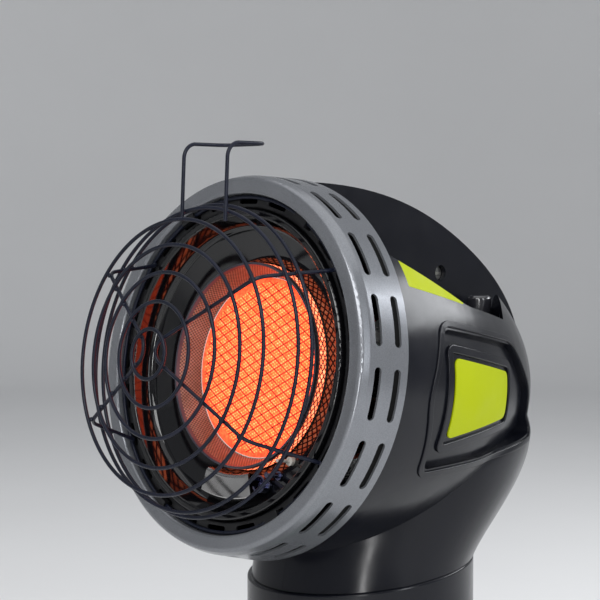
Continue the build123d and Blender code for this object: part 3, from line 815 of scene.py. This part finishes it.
LAND_GLOW = Glow((2.8, 0.12, 0.030), (3.7, 0.18, 0.042), (4.2, 0.29, 0.065), (0.22, 0.08, 0.04))
GROOVE_GLOW = Glow((0.09, 0.012, 0.009), (0.15, 0.018, 0.011), (0.24, 0.03, 0.016), (0.05, 0.025, 0.02))
HOLE_GLOW = Glow((3.2, 0.30, 0.05), (4.0, 0.72, 0.14), (4.4, 0.98, 0.36), (0.2, 0.08, 0.04))
# glow of the band round the cup: a painted reflection of the tile mirrored in the dish
PAINTED_REFLECTION_GLOW = Glow((2.4, 0.26, 0.08), (3.0, 0.50, 0.17), (3.4, 0.95, 0.46), (0.3, 0.15, 0.1))


@dataclass(frozen=True)
class HotCeramic:
    """Burner surface that glows grain by grain, less towards its rim; also the painted reflection's
    glow.
    """

    name: str
    glow: Glow
    centre: Vector
    radius: float
    strength: float = 1.0
    grain_scale: float = 520.0
    grain: float = 0.00006
    drift_scale: float = 30.0

    def material(self) -> Material:
        """Glow that is mottled, drifts over the surface and is cooler at its rim.

        Returns:
            The material.
        """
        graph = Graph(self.name)
        glow = self.glow
        mottle = graph.noise(self.grain_scale)
        graph.feed(
            "Emission Color", graph.ramp(mottle, (0.36, glow.dull), (0.5, glow.warm), (0.64, glow.hot))
        )
        span = graph.node("VectorMath")
        span.operation = "DISTANCE"
        span.inputs[1].default_value = self.centre
        graph.join_up(graph.place, span.inputs[0])
        rim = graph.math("MULTIPLY", span.outputs["Value"], 1.0 / self.radius)
        fall = graph.ramp(rim, (0.0, 1.0), (0.8, 0.95), (0.94, 0.8), (1.0, 0.6))
        drift = graph.ramp(graph.noise(self.drift_scale), (0.3, 0.86), (0.7, 1.0))
        level = graph.math("MULTIPLY", fall, drift)
        graph.feed("Emission Strength", graph.math("MULTIPLY", level, self.strength))
        soot = tuple(0.4 * shade for shade in glow.ash)
        graph.feed("Base Color", graph.ramp(mottle, (0.3, soot), (0.7, glow.ash)))
        graph.fixed(Roughness=0.85)
        graph.bump(mottle, self.grain)
        return graph.material


SATIN_SILVER = Paint(
    "satin_silver_paint",
    (0.225, 0.234, 0.252),
    (0.208, 0.216, 0.234),
    roughness=0.24,
    flake=0.55,
    orange_peel=0.000004,
    unevenness=0.04,
    sparkle=0.16,
)
GUARD_COAT = Paint(
    "guard_coating",
    (0.010, 0.012, 0.024),
    (0.006, 0.008, 0.016),
    roughness=0.3,
    orange_peel=0.00002,
    ior=1.3,
)
BLACK_SHEET = Paint(
    "black_sheet_paint", (0.008, 0.008, 0.009), (0.005, 0.005, 0.006), roughness=0.34, ior=1.4
)
CYLINDER_PAINT = Paint(
    "cylinder_paint",
    (0.035, 0.15, 0.06),
    (0.026, 0.12, 0.046),
    roughness=0.26,
    orange_peel=0.00003,
    coat=0.3,
)
GLOSSY_CHARCOAL = Moulding(
    "glossy_charcoal",
    (0.0054, 0.0060, 0.0096),
    (0.0038, 0.0043, 0.0070),
    roughness=0.22,
    grain=0.000006,
    ior=1.34,
    # painted shade on the plastic under the bezel's rear slots
    painted_shade_ahead_of=-0.02935,
)
FOOT_PLASTIC = Moulding(
    "foot_plastic",
    (0.020, 0.021, 0.024),
    (0.014, 0.015, 0.017),
    roughness=0.5,
    grain=0.00006,
    grain_scale=1100.0,
)
BLACK_PLASTIC = Moulding(
    "black_plastic", (0.03, 0.03, 0.03), (0.018, 0.018, 0.018), roughness=0.45
)
PRINTED_GREEN = Moulding(
    "printed_green",
    (0.38, 0.44, 0.0),
    (0.35, 0.41, 0.0),
    roughness=0.5,
    grain=0.000006,
    grain_scale=1500.0,
    ior=1.22,
)
RED_PLASTIC = Moulding(
    "red_plastic", (0.55, 0.02, 0.02), (0.4, 0.012, 0.012), roughness=0.3, coat=0.3
)
POLISHED_BLACK = Moulding(
    "polished_black_plastic", (0.02, 0.02, 0.024), (0.012, 0.012, 0.015), roughness=0.14, coat=0.6
)
DRAWN_STEEL = BareMetal(
    "drawn_steel", (0.56, 0.56, 0.56), (0.40, 0.38, 0.35), roughness=0.3
)
BRIGHT_STEEL = BareMetal(
    "bright_steel",
    (0.62, 0.62, 0.64),
    (0.34, 0.37, 0.50),
    roughness=0.2,
    draw=(700.0, 40.0, 40.0),
    stained=0.35,
)
POLISHED_STEEL = BareMetal(
    "polished_steel",
    (0.56, 0.55, 0.54),
    (0.34, 0.30, 0.28),
    roughness=0.11,
    draw=(90.0, 60.0, 60.0),
)
BLUED_STEEL = BareMetal(
    "heat_blued_steel",
    (0.15, 0.17, 0.26),
    (0.13, 0.08, 0.12),
    roughness=0.2,
    draw=(300.0, 300.0, 300.0),
    stained=0.8,
)
ZINC_STEEL = BareMetal(
    "zinc_steel", (0.58, 0.58, 0.56), (0.50, 0.47, 0.36), roughness=0.32
)
BRASS = BareMetal("turned_brass", (0.72, 0.52, 0.22), (0.48, 0.32, 0.13), roughness=0.25)
ALUMINIUM = BareMetal(
    "drawn_aluminium", (0.76, 0.76, 0.77), (0.60, 0.60, 0.62), roughness=0.28
)
COPPER = BareMetal("drawn_copper", (0.72, 0.36, 0.22), (0.42, 0.18, 0.11), roughness=0.28)
FIBRE = Soft(
    "ceramic_fibre",
    (0.76, 0.74, 0.69),
    (0.60, 0.57, 0.51),
    roughness=0.9,
    grain=0.0003,
    grain_scale=700.0,
    sheen=0.3,
)
SILICONE = Soft(
    "red_silicone", (0.50, 0.11, 0.07), (0.38, 0.07, 0.04), roughness=0.5, grain=0.00002
)
RUBBER = Soft(
    "moulded_rubber", (0.035, 0.035, 0.035), (0.02, 0.02, 0.02), roughness=0.7, grain=0.00005
)


# ------------------------------------------------------------------ burner tile
@dataclass
class BurnerTile:
    """Ceramic tile, grooved in long diamonds that are each pierced by nine holes."""

    radius: float = 0.045
    face: float = -0.0251
    thickness: float = 0.0129
    row: float = 0.0015
    rows_between_grooves: int = 3
    groove: float = 0.0005
    groove_depth: float = 0.0004
    groove_taper: float = 0.00004
    land: float = 0.00036
    hole_depth: float = 0.0006
    hole_taper: float = 0.00012
    margin: float = 0.0014
    lean: float = math.radians(30)
    turn: float = math.radians(-3.4)
    spare_rows: int = 8
    rim_corners: int = 160

    def lattice(self) -> Piece:
        """Flat lattice of diamonds whose sides lean off the level, cut to a round.

        Returns:
            The lattice, with its grooves' faces in the second material.
        """
        count = 2 * math.ceil(self.radius / self.row / math.sqrt(2)) + self.spare_rows
        count += -count % (2 * self.rows_between_grooves)
        bpy.ops.mesh.primitive_grid_add(
            x_subdivisions=count, y_subdivisions=count, size=count * self.row
        )
        sheet = fresh("burner_tile_face")
        set_material(sheet, *self.materials())
        slack = 0.1 * self.row
        pitch = self.rows_between_grooves * self.row

        def on_groove(first: Vector, last: Vector) -> bool:
            """Tell whether an edge lies on one of the lines that become grooves.

            Args:
                first: One end of the edge.
                last: Its other end.

            Returns:
                Whether it does.
            """
            for axis in (0, 1):
                off_line = abs(first[axis] - pitch * round(first[axis] / pitch))
                if off_line < slack and abs(first[axis] - last[axis]) < slack:
                    return True
            return False

        pick_edges(sheet, on_groove)
        bpy.ops.mesh.bevel(offset=self.groove / 2, segments=1, material=1, affect="EDGES")
        close_edit()
        side = 1 / math.sqrt(2)
        stretch = (side / math.sin(self.lean), side / math.cos(self.lean), 1, 1)
        settle(sheet, Matrix.Rotation(math.radians(45), 4, "Z"))
        settle(sheet, Matrix.Diagonal(stretch))
        reach = self.radius - self.margin
        pick_faces(
            sheet,
            lambda face: max(sheet.data.vertices[i].co.length for i in face.vertices) > reach,
        )
        bpy.ops.mesh.delete(type="FACE")
        close_edit()
        return sheet

    def body(self, sheet: Piece) -> None:
        """Join the lattice to a round margin, and give the tile its side and back.

        Args:
            sheet: The lattice.
        """
        bpy.ops.mesh.primitive_circle_add(vertices=self.rim_corners, radius=self.radius)
        rim = fresh("burner_tile_rim")
        take(sheet, rim)
        bpy.ops.object.join()
        edit(sheet, Pick.EDGES)
        pick_open_edges(wires=True)
        bpy.ops.mesh.fill(use_beauty=True)
        face_outward()
        pick_open_edges(wires=False)
        bpy.ops.mesh.extrude_region_move(
            TRANSFORM_OT_translate={"value": (0, 0, -self.thickness)}
        )
        bpy.ops.mesh.edge_face_add()
        face_outward()
        close_edit()

    def pierce(self, sheet: Piece) -> None:
        """Sink the grooves, and push a hole in the middle of every small diamond.

        Args:
            sheet: The tile with its body.
        """
        pick_faces(sheet, lambda face: face.material_index == 1)
        push_in(self.groove_taper, -self.groove_depth, each=False)
        close_edit()
        level = -0.2 * self.groove_depth
        found = pick_faces(
            sheet,
            lambda face: face.material_index == 0
            and len(face.vertices) == 4
            and face.center.z > level
            and face.normal.z > 0.9,
        )
        log.info("burner tile: %d holes", found)
        push_in(self.land, 0.0)
        push_in(self.hole_taper, -self.hole_depth)
        close_edit()

    def build(self) -> Piece:
        """Make the tile.

        Returns:
            The tile, in place of its plain CAD node.
        """
        tile = self.lattice()
        self.body(tile)
        self.pierce(tile)
        place = HEAD.matrix @ Matrix.Translation((0, 0, self.face))
        settle(tile, place @ Matrix.Rotation(self.turn, 4, "Z"))
        return tile

    def materials(self) -> tuple[Material, ...]:
        """Glow of the lands, of the cooler grooves and of the deep holes.

        Returns:
            The three materials, in that order.
        """
        middle = HEAD.point(0.0, 0.0, self.face)
        glows = {
            "glowing_lands": LAND_GLOW,
            "glowing_grooves": GROOVE_GLOW,
            "glowing_holes": HOLE_GLOW,
        }
        return tuple(
            HotCeramic(name, glow, middle, self.radius).material()
            for name, glow in glows.items()
        )

    def dress(self, tile: Piece) -> None:
        """Give the holes their own glow, and mount the tile.

        Args:
            tile: The tile in its place.
        """
        for face in tile.data.polygons:
            ahead = (face.center - HEAD.centre).dot(HEAD.forward) - self.face
            in_hole = -1.5 * self.hole_depth < ahead < -0.2 * self.hole_depth
            if face.material_index == 0 and in_hole:
                face.material_index = 2
        mount(tile, "head", "tile", "burner_tile")


@dataclass
class PaintedReflectionBand:
    """Band round the cup's side, pressed in small diamonds, glowing as a painted reflection of the
    tile.
    """

    radius: float = 0.05141
    front: float = -0.0142
    back: float = -0.0192
    columns: int = 72
    rows: int = 2
    groove: float = 0.0007
    rise: float = 0.00022
    groove_strength: float = 1.2

    def build(self) -> Piece:
        """Make the band: an open round, divided in diamonds that are each raised.

        Returns:
            The band in its place round the cup.
        """
        height = self.front - self.back
        bpy.ops.mesh.primitive_cylinder_add(
            vertices=self.columns, radius=self.radius, depth=height, end_fill_type="NOTHING"
        )
        band = fresh("painted_reflection_band")
        pick_edges(band, lambda a, b: abs(a.z - b.z) > 0.5 * height)
        bpy.ops.mesh.subdivide(number_cuts=self.rows - 1)
        bpy.ops.mesh.select_all(action="SELECT")
        bpy.ops.mesh.poke()
        close_edit()
        ring = self.radius - 0.05 * self.rise
        off_rims = 0.4 * height

        def frame_line(first: Vector, last: Vector) -> bool:
            """Tell whether an edge is one of the first upright or level lines, off the rims.

            Args:
                first: One end of the edge.
                last: Its other end.

            Returns:
                Whether it is.
            """
            on_ring = min(first.xy.length, last.xy.length) > ring
            return on_ring and min(abs(first.z), abs(last.z)) < off_rims

        pick_edges(band, frame_line)
        bpy.ops.mesh.dissolve_edges(use_verts=False)
        face_outward()
        push_in(self.groove / 2, self.rise)
        close_edit()
        settle(band, HEAD.matrix @ Matrix.Translation((0, 0, (self.front + self.back) / 2)))
        return band

    def dress(self, band: Piece) -> None:
        """Give the band its painted reflection's glow, diamonds hotter than the lines, and mount it.

        Args:
            band: The band in its place.
        """
        middle = HEAD.point(0.0, 0.0, self.front)
        reach = 2 * self.radius
        # painted reflection: the band glows where the dish would mirror the tile
        diamonds = HotCeramic("painted_reflection_diamonds", PAINTED_REFLECTION_GLOW, middle, reach)
        lines = HotCeramic("painted_reflection_grooves", GROOVE_GLOW, middle, reach, self.groove_strength)
        set_material(band, diamonds.material(), lines.material())
        raised = (self.radius + 0.8 * self.rise) * math.cos(math.pi / self.columns)
        for face in band.data.polygons:
            arm = face.center - HEAD.centre
            arm = arm - HEAD.forward * arm.dot(HEAD.forward)
            face.material_index = 0 if arm.length > raised else 1
        mount(band, "head", "tile")


# ------------------------------------------------------------------ guard welds
@dataclass
class GuardWelds:
    """Small beads where the spokes and the hook are spot-welded to the rings.

    Spacing and bead are in wire diameters, and the knee's inset is in spacings.
    """

    wire: float = 0.0019
    nose_radii: tuple[float, ...] = (0.012, 0.0255, 0.0399, 0.0536, 0.0663)
    side_reaches: tuple[float, ...] = (0.0218, 0.0152)
    nose: float = 0.052
    knee_radius: float = 0.069
    knee_reach: float = 0.0358
    rim_radius: float = 0.0829
    rim_reach: float = -0.00405
    spoke_angles: tuple[float, ...] = (54.0, 122.0, -54.0, -122.0)
    cross: tuple[float, float] = (-0.0013, 0.0018)
    hook_half_width: float = 0.016
    spacing: float = 0.95
    knee_inset: float = 0.9
    bead: float = 0.62
    bead_stretch: tuple[float, float, float] = (0.8, 0.8, 1.25)

    @property
    def nose_slope(self) -> float:
        """Fall of the nose cone per radius."""
        return (self.nose - self.knee_reach) / self.knee_radius

    def side_radius(self, reach: float) -> float:
        """Radius of the guard's side at a forward reach."""
        slope = (self.rim_radius - self.knee_radius) / (self.knee_reach - self.rim_reach)
        return self.knee_radius + slope * (self.knee_reach - reach)

    def bead_places(self) -> list[tuple[Vector, Vector]]:
        """Work out where the beads go, from the places of the wires.

        Returns:
            The centre of each bead, with the direction that its wire runs in.
        """
        weld = self.spacing * self.wire
        spoke_nose = self.nose - weld * math.hypot(1, self.nose_slope)
        places = []
        for angle in self.spoke_angles:
            side = 1.0 if angle > 0 else -1.0
            knee_radius = self.knee_radius - self.knee_inset * weld
            knee = HEAD.point(angle, knee_radius, spoke_nose - self.nose_slope * knee_radius)
            aside = Vector((side * self.cross[0], 0, 0)) + HEAD.upward * self.cross[1]
            cross = HEAD.centre + HEAD.forward * spoke_nose + aside
            rim = HEAD.point(angle, self.rim_radius - weld, self.rim_reach)
            along = (knee - cross).normalized()
            lean = aside.dot(along)
            for radius in self.nose_radii:
                step = -lean + math.sqrt(lean * lean - aside.length_squared + radius * radius)
                places.append((cross + along * step + HEAD.forward * weld / 2, along))
            for reach in self.side_reaches:
                run = rim - knee
                share = (reach - (knee - HEAD.centre).dot(HEAD.forward)) / run.dot(HEAD.forward)
                inner = knee + run * share
                outer = HEAD.point(angle, self.side_radius(reach), reach)
                places.append(((inner + outer) / 2, run.normalized()))
            at_rim = HEAD.point(angle, self.rim_radius - weld / 2, self.rim_reach)
            places.append((at_rim, rim - knee))
        front_reach = self.side_reaches[0]
        up = math.sqrt(self.side_radius(front_reach) ** 2 - self.hook_half_width**2)
        centre = HEAD.centre + HEAD.upward * up + HEAD.forward * (front_reach + weld / 2)
        for side in (1.0, -1.0):
            places.append((centre + Vector((side * self.hook_half_width, 0, 0)), HEAD.upward))
        return places

    def build(self) -> Piece:
        """Make one flattened bead and copy it to every weld.

        Returns:
            All beads as one piece.
        """
        beads = []
        for centre, along in self.bead_places():
            bpy.ops.mesh.primitive_ico_sphere_add(subdivisions=3, radius=self.bead * self.wire)
            bead = fresh("weld_bead")
            bead.scale = self.bead_stretch
            turn = along.to_track_quat("Z", "Y").to_matrix().to_4x4()
            settle(bead, Matrix.Translation(centre) @ turn)
            beads.append(bead)
        welds = join(beads, "guard_welds")
        take(welds)
        bpy.ops.object.shade_smooth()
        return welds


# ------------------------------------------------------------ side panel's beads
Outline = tuple[tuple[float, float], ...]


def grown(outline: Outline, by: float) -> list[Vector]:
    """Corners of an outline that is moved outward on every side.

    Args:
        outline: Corners in order, either way round.
        by: How far every side moves.

    Returns:
        The new corners, counterclockwise.
    """
    corners_in = [Vector(corner) for corner in outline]
    count = len(corners_in)
    area = sum(
        corners_in[i].x * corners_in[(i + 1) % count].y
        - corners_in[(i + 1) % count].x * corners_in[i].y
        for i in range(count)
    )
    if area < 0:
        corners_in.reverse()
    out = []
    for i, corner in enumerate(corners_in):
        before = (corner - corners_in[i - 1]).normalized()
        after = (corners_in[(i + 1) % count] - corner).normalized()
        first = Vector((before.y, -before.x))
        second = Vector((after.y, -after.x))
        out.append(corner + (first + second) * by / (1 + first.dot(second)))
    return out


@dataclass
class PanelBead:
    """Low rounded bead that runs round an outline on the housing's side."""

    name: str
    outline: Outline
    gap: float
    width: float
    height: float
    corner: float
    turn: float = math.radians(17.5)
    centre: Vector = Vector((0.082, 0.015, 0.262))
    stand_off: float = 0.03
    sink: float = 0.0004
    corner_steps: int = 5
    side_cuts: int = 6
    edge_steps: int = 4
    edge_angle: float = math.radians(50)
    smooth_angle: float = math.radians(60)

    @property
    def place(self) -> Matrix:
        """Place of the panel's plane, off the housing's +X side.

        Returns:
            A place with X backward, Y up and Z out of that side.
        """
        back = Vector((-math.sin(self.turn), math.cos(self.turn), 0.0))
        out = Vector((math.cos(self.turn), math.sin(self.turn), 0.0))
        return frame_at(self.centre + out * self.stand_off, back, Vector((0.0, 0.0, 1.0)), out)

    def band(self) -> Piece:
        """Flat band with the bead's width, in the panel's own plane.

        Returns:
            The band, cut fine enough to follow the housing.
        """
        corners_out = grown(self.outline, self.gap + self.width)
        bpy.ops.mesh.primitive_circle_add(
            vertices=len(corners_out), radius=self.corner, fill_type="NGON"
        )
        band = fresh(self.name)
        for i, corner in enumerate(corners_out):
            clear_pick(band, Pick.VERTICES)
            band.data.vertices[i].select = True
            step = Vector((corner.x, corner.y, 0.0)) - band.data.vertices[i].co
            bpy.ops.object.mode_set(mode="EDIT")
            bpy.ops.transform.translate(value=step)
            close_edit()
        edit(band, Pick.VERTICES)
        face_outward()
        bpy.ops.mesh.bevel(
            offset=self.corner + self.width, segments=self.corner_steps, affect="VERTICES"
        )
        close_edit()
        edit(band)
        bpy.ops.mesh.inset(thickness=self.width, depth=0.0)
        bpy.ops.mesh.delete(type="FACE")
        bpy.ops.mesh.select_all(action="SELECT")
        bpy.ops.mesh.subdivide(number_cuts=self.side_cuts)
        close_edit()
        if sum(face.normal.z for face in band.data.polygons) < 0:
            edit(band)
            bpy.ops.mesh.flip_normals()
            close_edit()
        return band

    def build(self, housing: Piece) -> list[Piece]:
        """Lay the band on the housing, give it its height and round it.

        Args:
            housing: The half that carries it on the +X side.

        Returns:
            The bead on the +X side and its mirror image.
        """
        band = self.band()
        band.matrix_world = self.place
        take(band)
        bpy.context.view_layer.update()
        wrap = band.modifiers.new("wrap", "SHRINKWRAP")
        wrap.target = housing
        wrap.wrap_method = "PROJECT"
        wrap.use_project_z = True
        wrap.use_positive_direction = False
        wrap.use_negative_direction = True
        body = band.modifiers.new("body", "SOLIDIFY")
        body.thickness = self.height + self.sink
        body.offset = 1.0 - 2.0 * self.sink / body.thickness
        round_off = band.modifiers.new("round", "BEVEL")
        round_off.width = 0.8 * self.height
        round_off.segments = self.edge_steps
        round_off.limit_method = "ANGLE"
        round_off.angle_limit = self.edge_angle
        for modifier in (wrap.name, body.name, round_off.name):
            bpy.ops.object.modifier_apply(modifier=modifier)
        bpy.ops.object.transform_apply(location=True, rotation=True, scale=True)
        bpy.ops.object.shade_smooth_by_angle(angle=self.smooth_angle)
        bpy.ops.object.duplicate()
        twin = fresh(f"{self.name}_left")
        settle(twin, Matrix.Diagonal((-1.0, 1.0, 1.0, 1.0)))
        edit(twin)
        face_outward()
        close_edit()
        band.name = f"{self.name}_right"
        return [band, twin]


RECESS_OUTLINE = (
    (-0.0456, 0.0358), (-0.0582, 0.0025), (-0.0510, -0.0325), (-0.0024, -0.0310),
    (0.0538, -0.0235), (0.0496, -0.0007), (0.0231, 0.0244),
)
LABEL_OUTLINE = ((-0.0369, 0.0214), (-0.0381, -0.0186), (0.0181, -0.0125), (0.0181, 0.0110))


# ------------------------------------------------------------------- the heater
class Heater:
    """The whole heater: CAD nodes with their finishes, and the pieces made here."""

    finishes: dict[str, Finish] = {
        "bezel": SATIN_SILVER,
        "guard": GUARD_COAT,
        "black_sheet": BLACK_SHEET,
        "enamel": BowlEnamel(),
        "burner_steel": HotMesh(),
        "tile": FIBRE,
        "gasket": FIBRE,
        "plain_steel": DRAWN_STEEL,
        "brass": BRASS,
        "bright_steel": BRIGHT_STEEL,
        "porcelain": Glaze(),
        "aluminium": ALUMINIUM,
        "copper": COPPER,
        "lead": SILICONE,
        "black_plastic": BLACK_PLASTIC,
        "housing": GLOSSY_CHARCOAL,
        "zinc_steel": ZINC_STEEL,
        "green_label": PRINTED_GREEN,
        "red_button": RED_PLASTIC,
        "dark_button": POLISHED_BLACK,
        "seal": RUBBER,
        "cylinder_paint": CYLINDER_PAINT,
        "foot_plastic": FOOT_PLASTIC,
        "rubber_pad": RUBBER,
    }

    own_finishes: dict[str, Finish] = {
        "pilot_shield": POLISHED_STEEL,
        "pilot_burner": BLUED_STEEL,
        "thermocouple": BLUED_STEEL,
        "pilot_bracket": BLUED_STEEL,
    }

    def __init__(self, frame: dict) -> None:
        """Keep the frame's nodes and their material slots.
        """
        self.nodes: dict[str, Piece] = frame["nodes"]
        self.slots = {row["node"]: row["material_slot"] for row in frame["record"]["subparts"]}
        self.made: dict[Finish, Material] = {}

    def material_of(self, finish: Finish) -> Material:
        """Give a finish's material, which is made once.

        Args:
            finish: The finish.

        Returns:
            Its material.
        """
        if finish not in self.made:
            self.made[finish] = finish.material()
        return self.made[finish]

    def dress_nodes(self) -> None:
        """Give every CAD node the finish of its slot, or its own where it has one."""
        for name in sorted(self.nodes):
            finish = self.own_finishes.get(name, self.finishes[self.slots[name]])
            material = self.material_of(finish)
            set_material(self.nodes[name], material)
            log.info("%s: %s", name, material.name)

    def build(self) -> None:
        """Make everything, sub-assembly by sub-assembly."""
        self.dress_nodes()
        # the second is the band round the cup, a glowing painted reflection of the tile
        for part in (BurnerTile(), PaintedReflectionBand()):
            part.dress(part.build())
        for bead in (
            PanelBead(
                "recess_lip", RECESS_OUTLINE, gap=0.0012, width=0.0030, height=0.0009, corner=0.004
            ),
            PanelBead(
                "label_frame", LABEL_OUTLINE, gap=0.0020, width=0.0042, height=0.0014, corner=0.002
            ),
        ):
            for piece in bead.build(self.nodes["housing_right"]):
                set_material(piece, self.material_of(self.finishes["housing"]))
                mount(piece, "head", "housing")
        welds = GuardWelds().build()
        set_material(welds, self.material_of(self.finishes["guard"]))
        mount(welds, "head", "guard")


# ------------------------------------------------------------------- the studio
@dataclass(frozen=True)
class Lamp:
    """One soft area light."""

    name: str
    place: Vector
    target: Vector
    size: tuple[float, float]
    power: float
    colour: Colour = (1.0, 1.0, 1.0)

    def build(self) -> None:
        """Add the lamp and turn it to its target."""
        bpy.ops.object.light_add(type="AREA", location=self.place)
        lamp = bpy.context.view_layer.objects.active
        lamp.name = self.name
        lamp.data.shape = "RECTANGLE"
        lamp.data.size, lamp.data.size_y = self.size
        lamp.data.energy = self.power
        lamp.data.color = self.colour
        lamp.rotation_euler = (self.place - self.target).to_track_quat("Z", "Y").to_euler()


@dataclass
class Studio:
    """Pale floor that sweeps up into a backdrop, soft lights and the camera."""

    floor_half: float = 3.0
    floor_corners: int = 128
    wall: float = 0.8
    sweep: float = 0.9
    sweep_steps: int = 12
    tone: float = 0.8
    air: Colour = (0.92, 0.95, 1.0)
    air_strength: float = 0.3
    camera_place: Vector = Vector((0.7152, -0.7328, 0.34924))
    azimuth: float = math.radians(46.08)
    elevation: float = math.radians(2.29)
    lens: float = 117.08
    sensor: float = 36.0
    nearest: float = 0.05
    farthest: float = 50.0

    def floor(self) -> None:
        """Round floor with its far edge swept up, so that no horizon shows from any side."""
        bpy.ops.mesh.primitive_circle_add(
            vertices=self.floor_corners, radius=self.floor_half, fill_type="NGON"
        )
        floor = fresh("studio_floor")
        edit(floor)
        for step in range(self.sweep_steps):
            first = math.radians(90 * step / self.sweep_steps)
            last = math.radians(90 * (step + 1) / self.sweep_steps)
            before = self.floor_half + self.sweep * math.sin(first)
            after = self.floor_half + self.sweep * math.sin(last)
            rise = self.sweep * (math.cos(first) - math.cos(last))
            bpy.ops.mesh.extrude_region_move(TRANSFORM_OT_translate={"value": (0, 0, rise)})
            bpy.ops.transform.resize(
                value=(after / before, after / before, 1), center_override=(0, 0, 0)
            )
        bpy.ops.mesh.extrude_region_move(TRANSFORM_OT_translate={"value": (0, 0, self.wall)})
        bpy.ops.mesh.delete(type="ONLY_FACE")
        close_edit()
        bpy.ops.object.shade_smooth()
        graph = Graph("studio_paper")
        paper = graph.ramp(graph.noise(3.0), (0.3, self.tone * 0.98), (0.7, self.tone))
        graph.feed("Base Color", paper)
        graph.fixed(Roughness=0.95, Specular_IOR_Level=0.1)
        set_material(floor, graph.material)

    def world(self) -> None:
        """Even light from all round."""
        world = bpy.data.worlds.new("studio_air")
        bpy.context.scene.world = world
        world.use_nodes = True
        background = world.node_tree.nodes["Background"]
        background.inputs["Color"].default_value = (*self.air, 1.0)
        background.inputs["Strength"].default_value = self.air_strength

    def lamps(self) -> None:
        """Large key, cooler side lamp, narrow front lamp by the camera, rim lamp and overhead."""
        middle = Vector((0.0, -0.03, 0.27))
        cool = (0.93, 0.96, 1.0)
        pale = (0.95, 0.97, 1.0)
        for lamp in (
            Lamp("key", Vector((0.75, -1.45, 1.6)), middle, (1.1, 0.8), power=18.0),
            Lamp("side", Vector((1.7, -0.1, 0.9)), middle, (0.4, 1.2), power=9.0, colour=cool),
            Lamp("front", Vector((1.15, -1.25, 0.40)), middle, (0.10, 0.8), power=6.5),
            Lamp("rim", Vector((0.7, 1.4, 1.0)), middle, (1.0, 0.5), power=14.0, colour=pale),
            Lamp("top", Vector((0.1, 0.0, 2.1)), middle, (2.6, 2.6), power=20.0),
        ):
            lamp.build()

    def camera(self) -> None:
        """Camera at the heater's right front, a little above the head."""
        turn, rise = self.azimuth, self.elevation
        back = Vector(
            (math.sin(turn) * math.cos(rise), -math.cos(turn) * math.cos(rise), math.sin(rise))
        )
        bpy.ops.object.camera_add(location=self.camera_place)
        camera = bpy.context.view_layer.objects.active
        camera.name = "studio_camera"
        camera.rotation_euler = back.to_track_quat("Z", "Y").to_euler()
        camera.data.lens = self.lens
        camera.data.sensor_width = self.sensor
        camera.data.clip_start = self.nearest
        camera.data.clip_end = self.farthest
        bpy.context.scene.camera = camera

    def build(self) -> None:
        """Set up the studio."""
        self.floor()
        self.world()
        self.lamps()
        self.camera()
        bpy.context.scene.view_settings.view_transform = "Standard"


def main() -> None:
    """Load the frame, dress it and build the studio."""
    logging.basicConfig(level=logging.INFO, stream=sys.stdout, format="%(name)s: %(message)s")
    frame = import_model()
    deselect_all()
    Studio().build()
    Heater(frame).build()


if __name__ == "__main__":
    main()
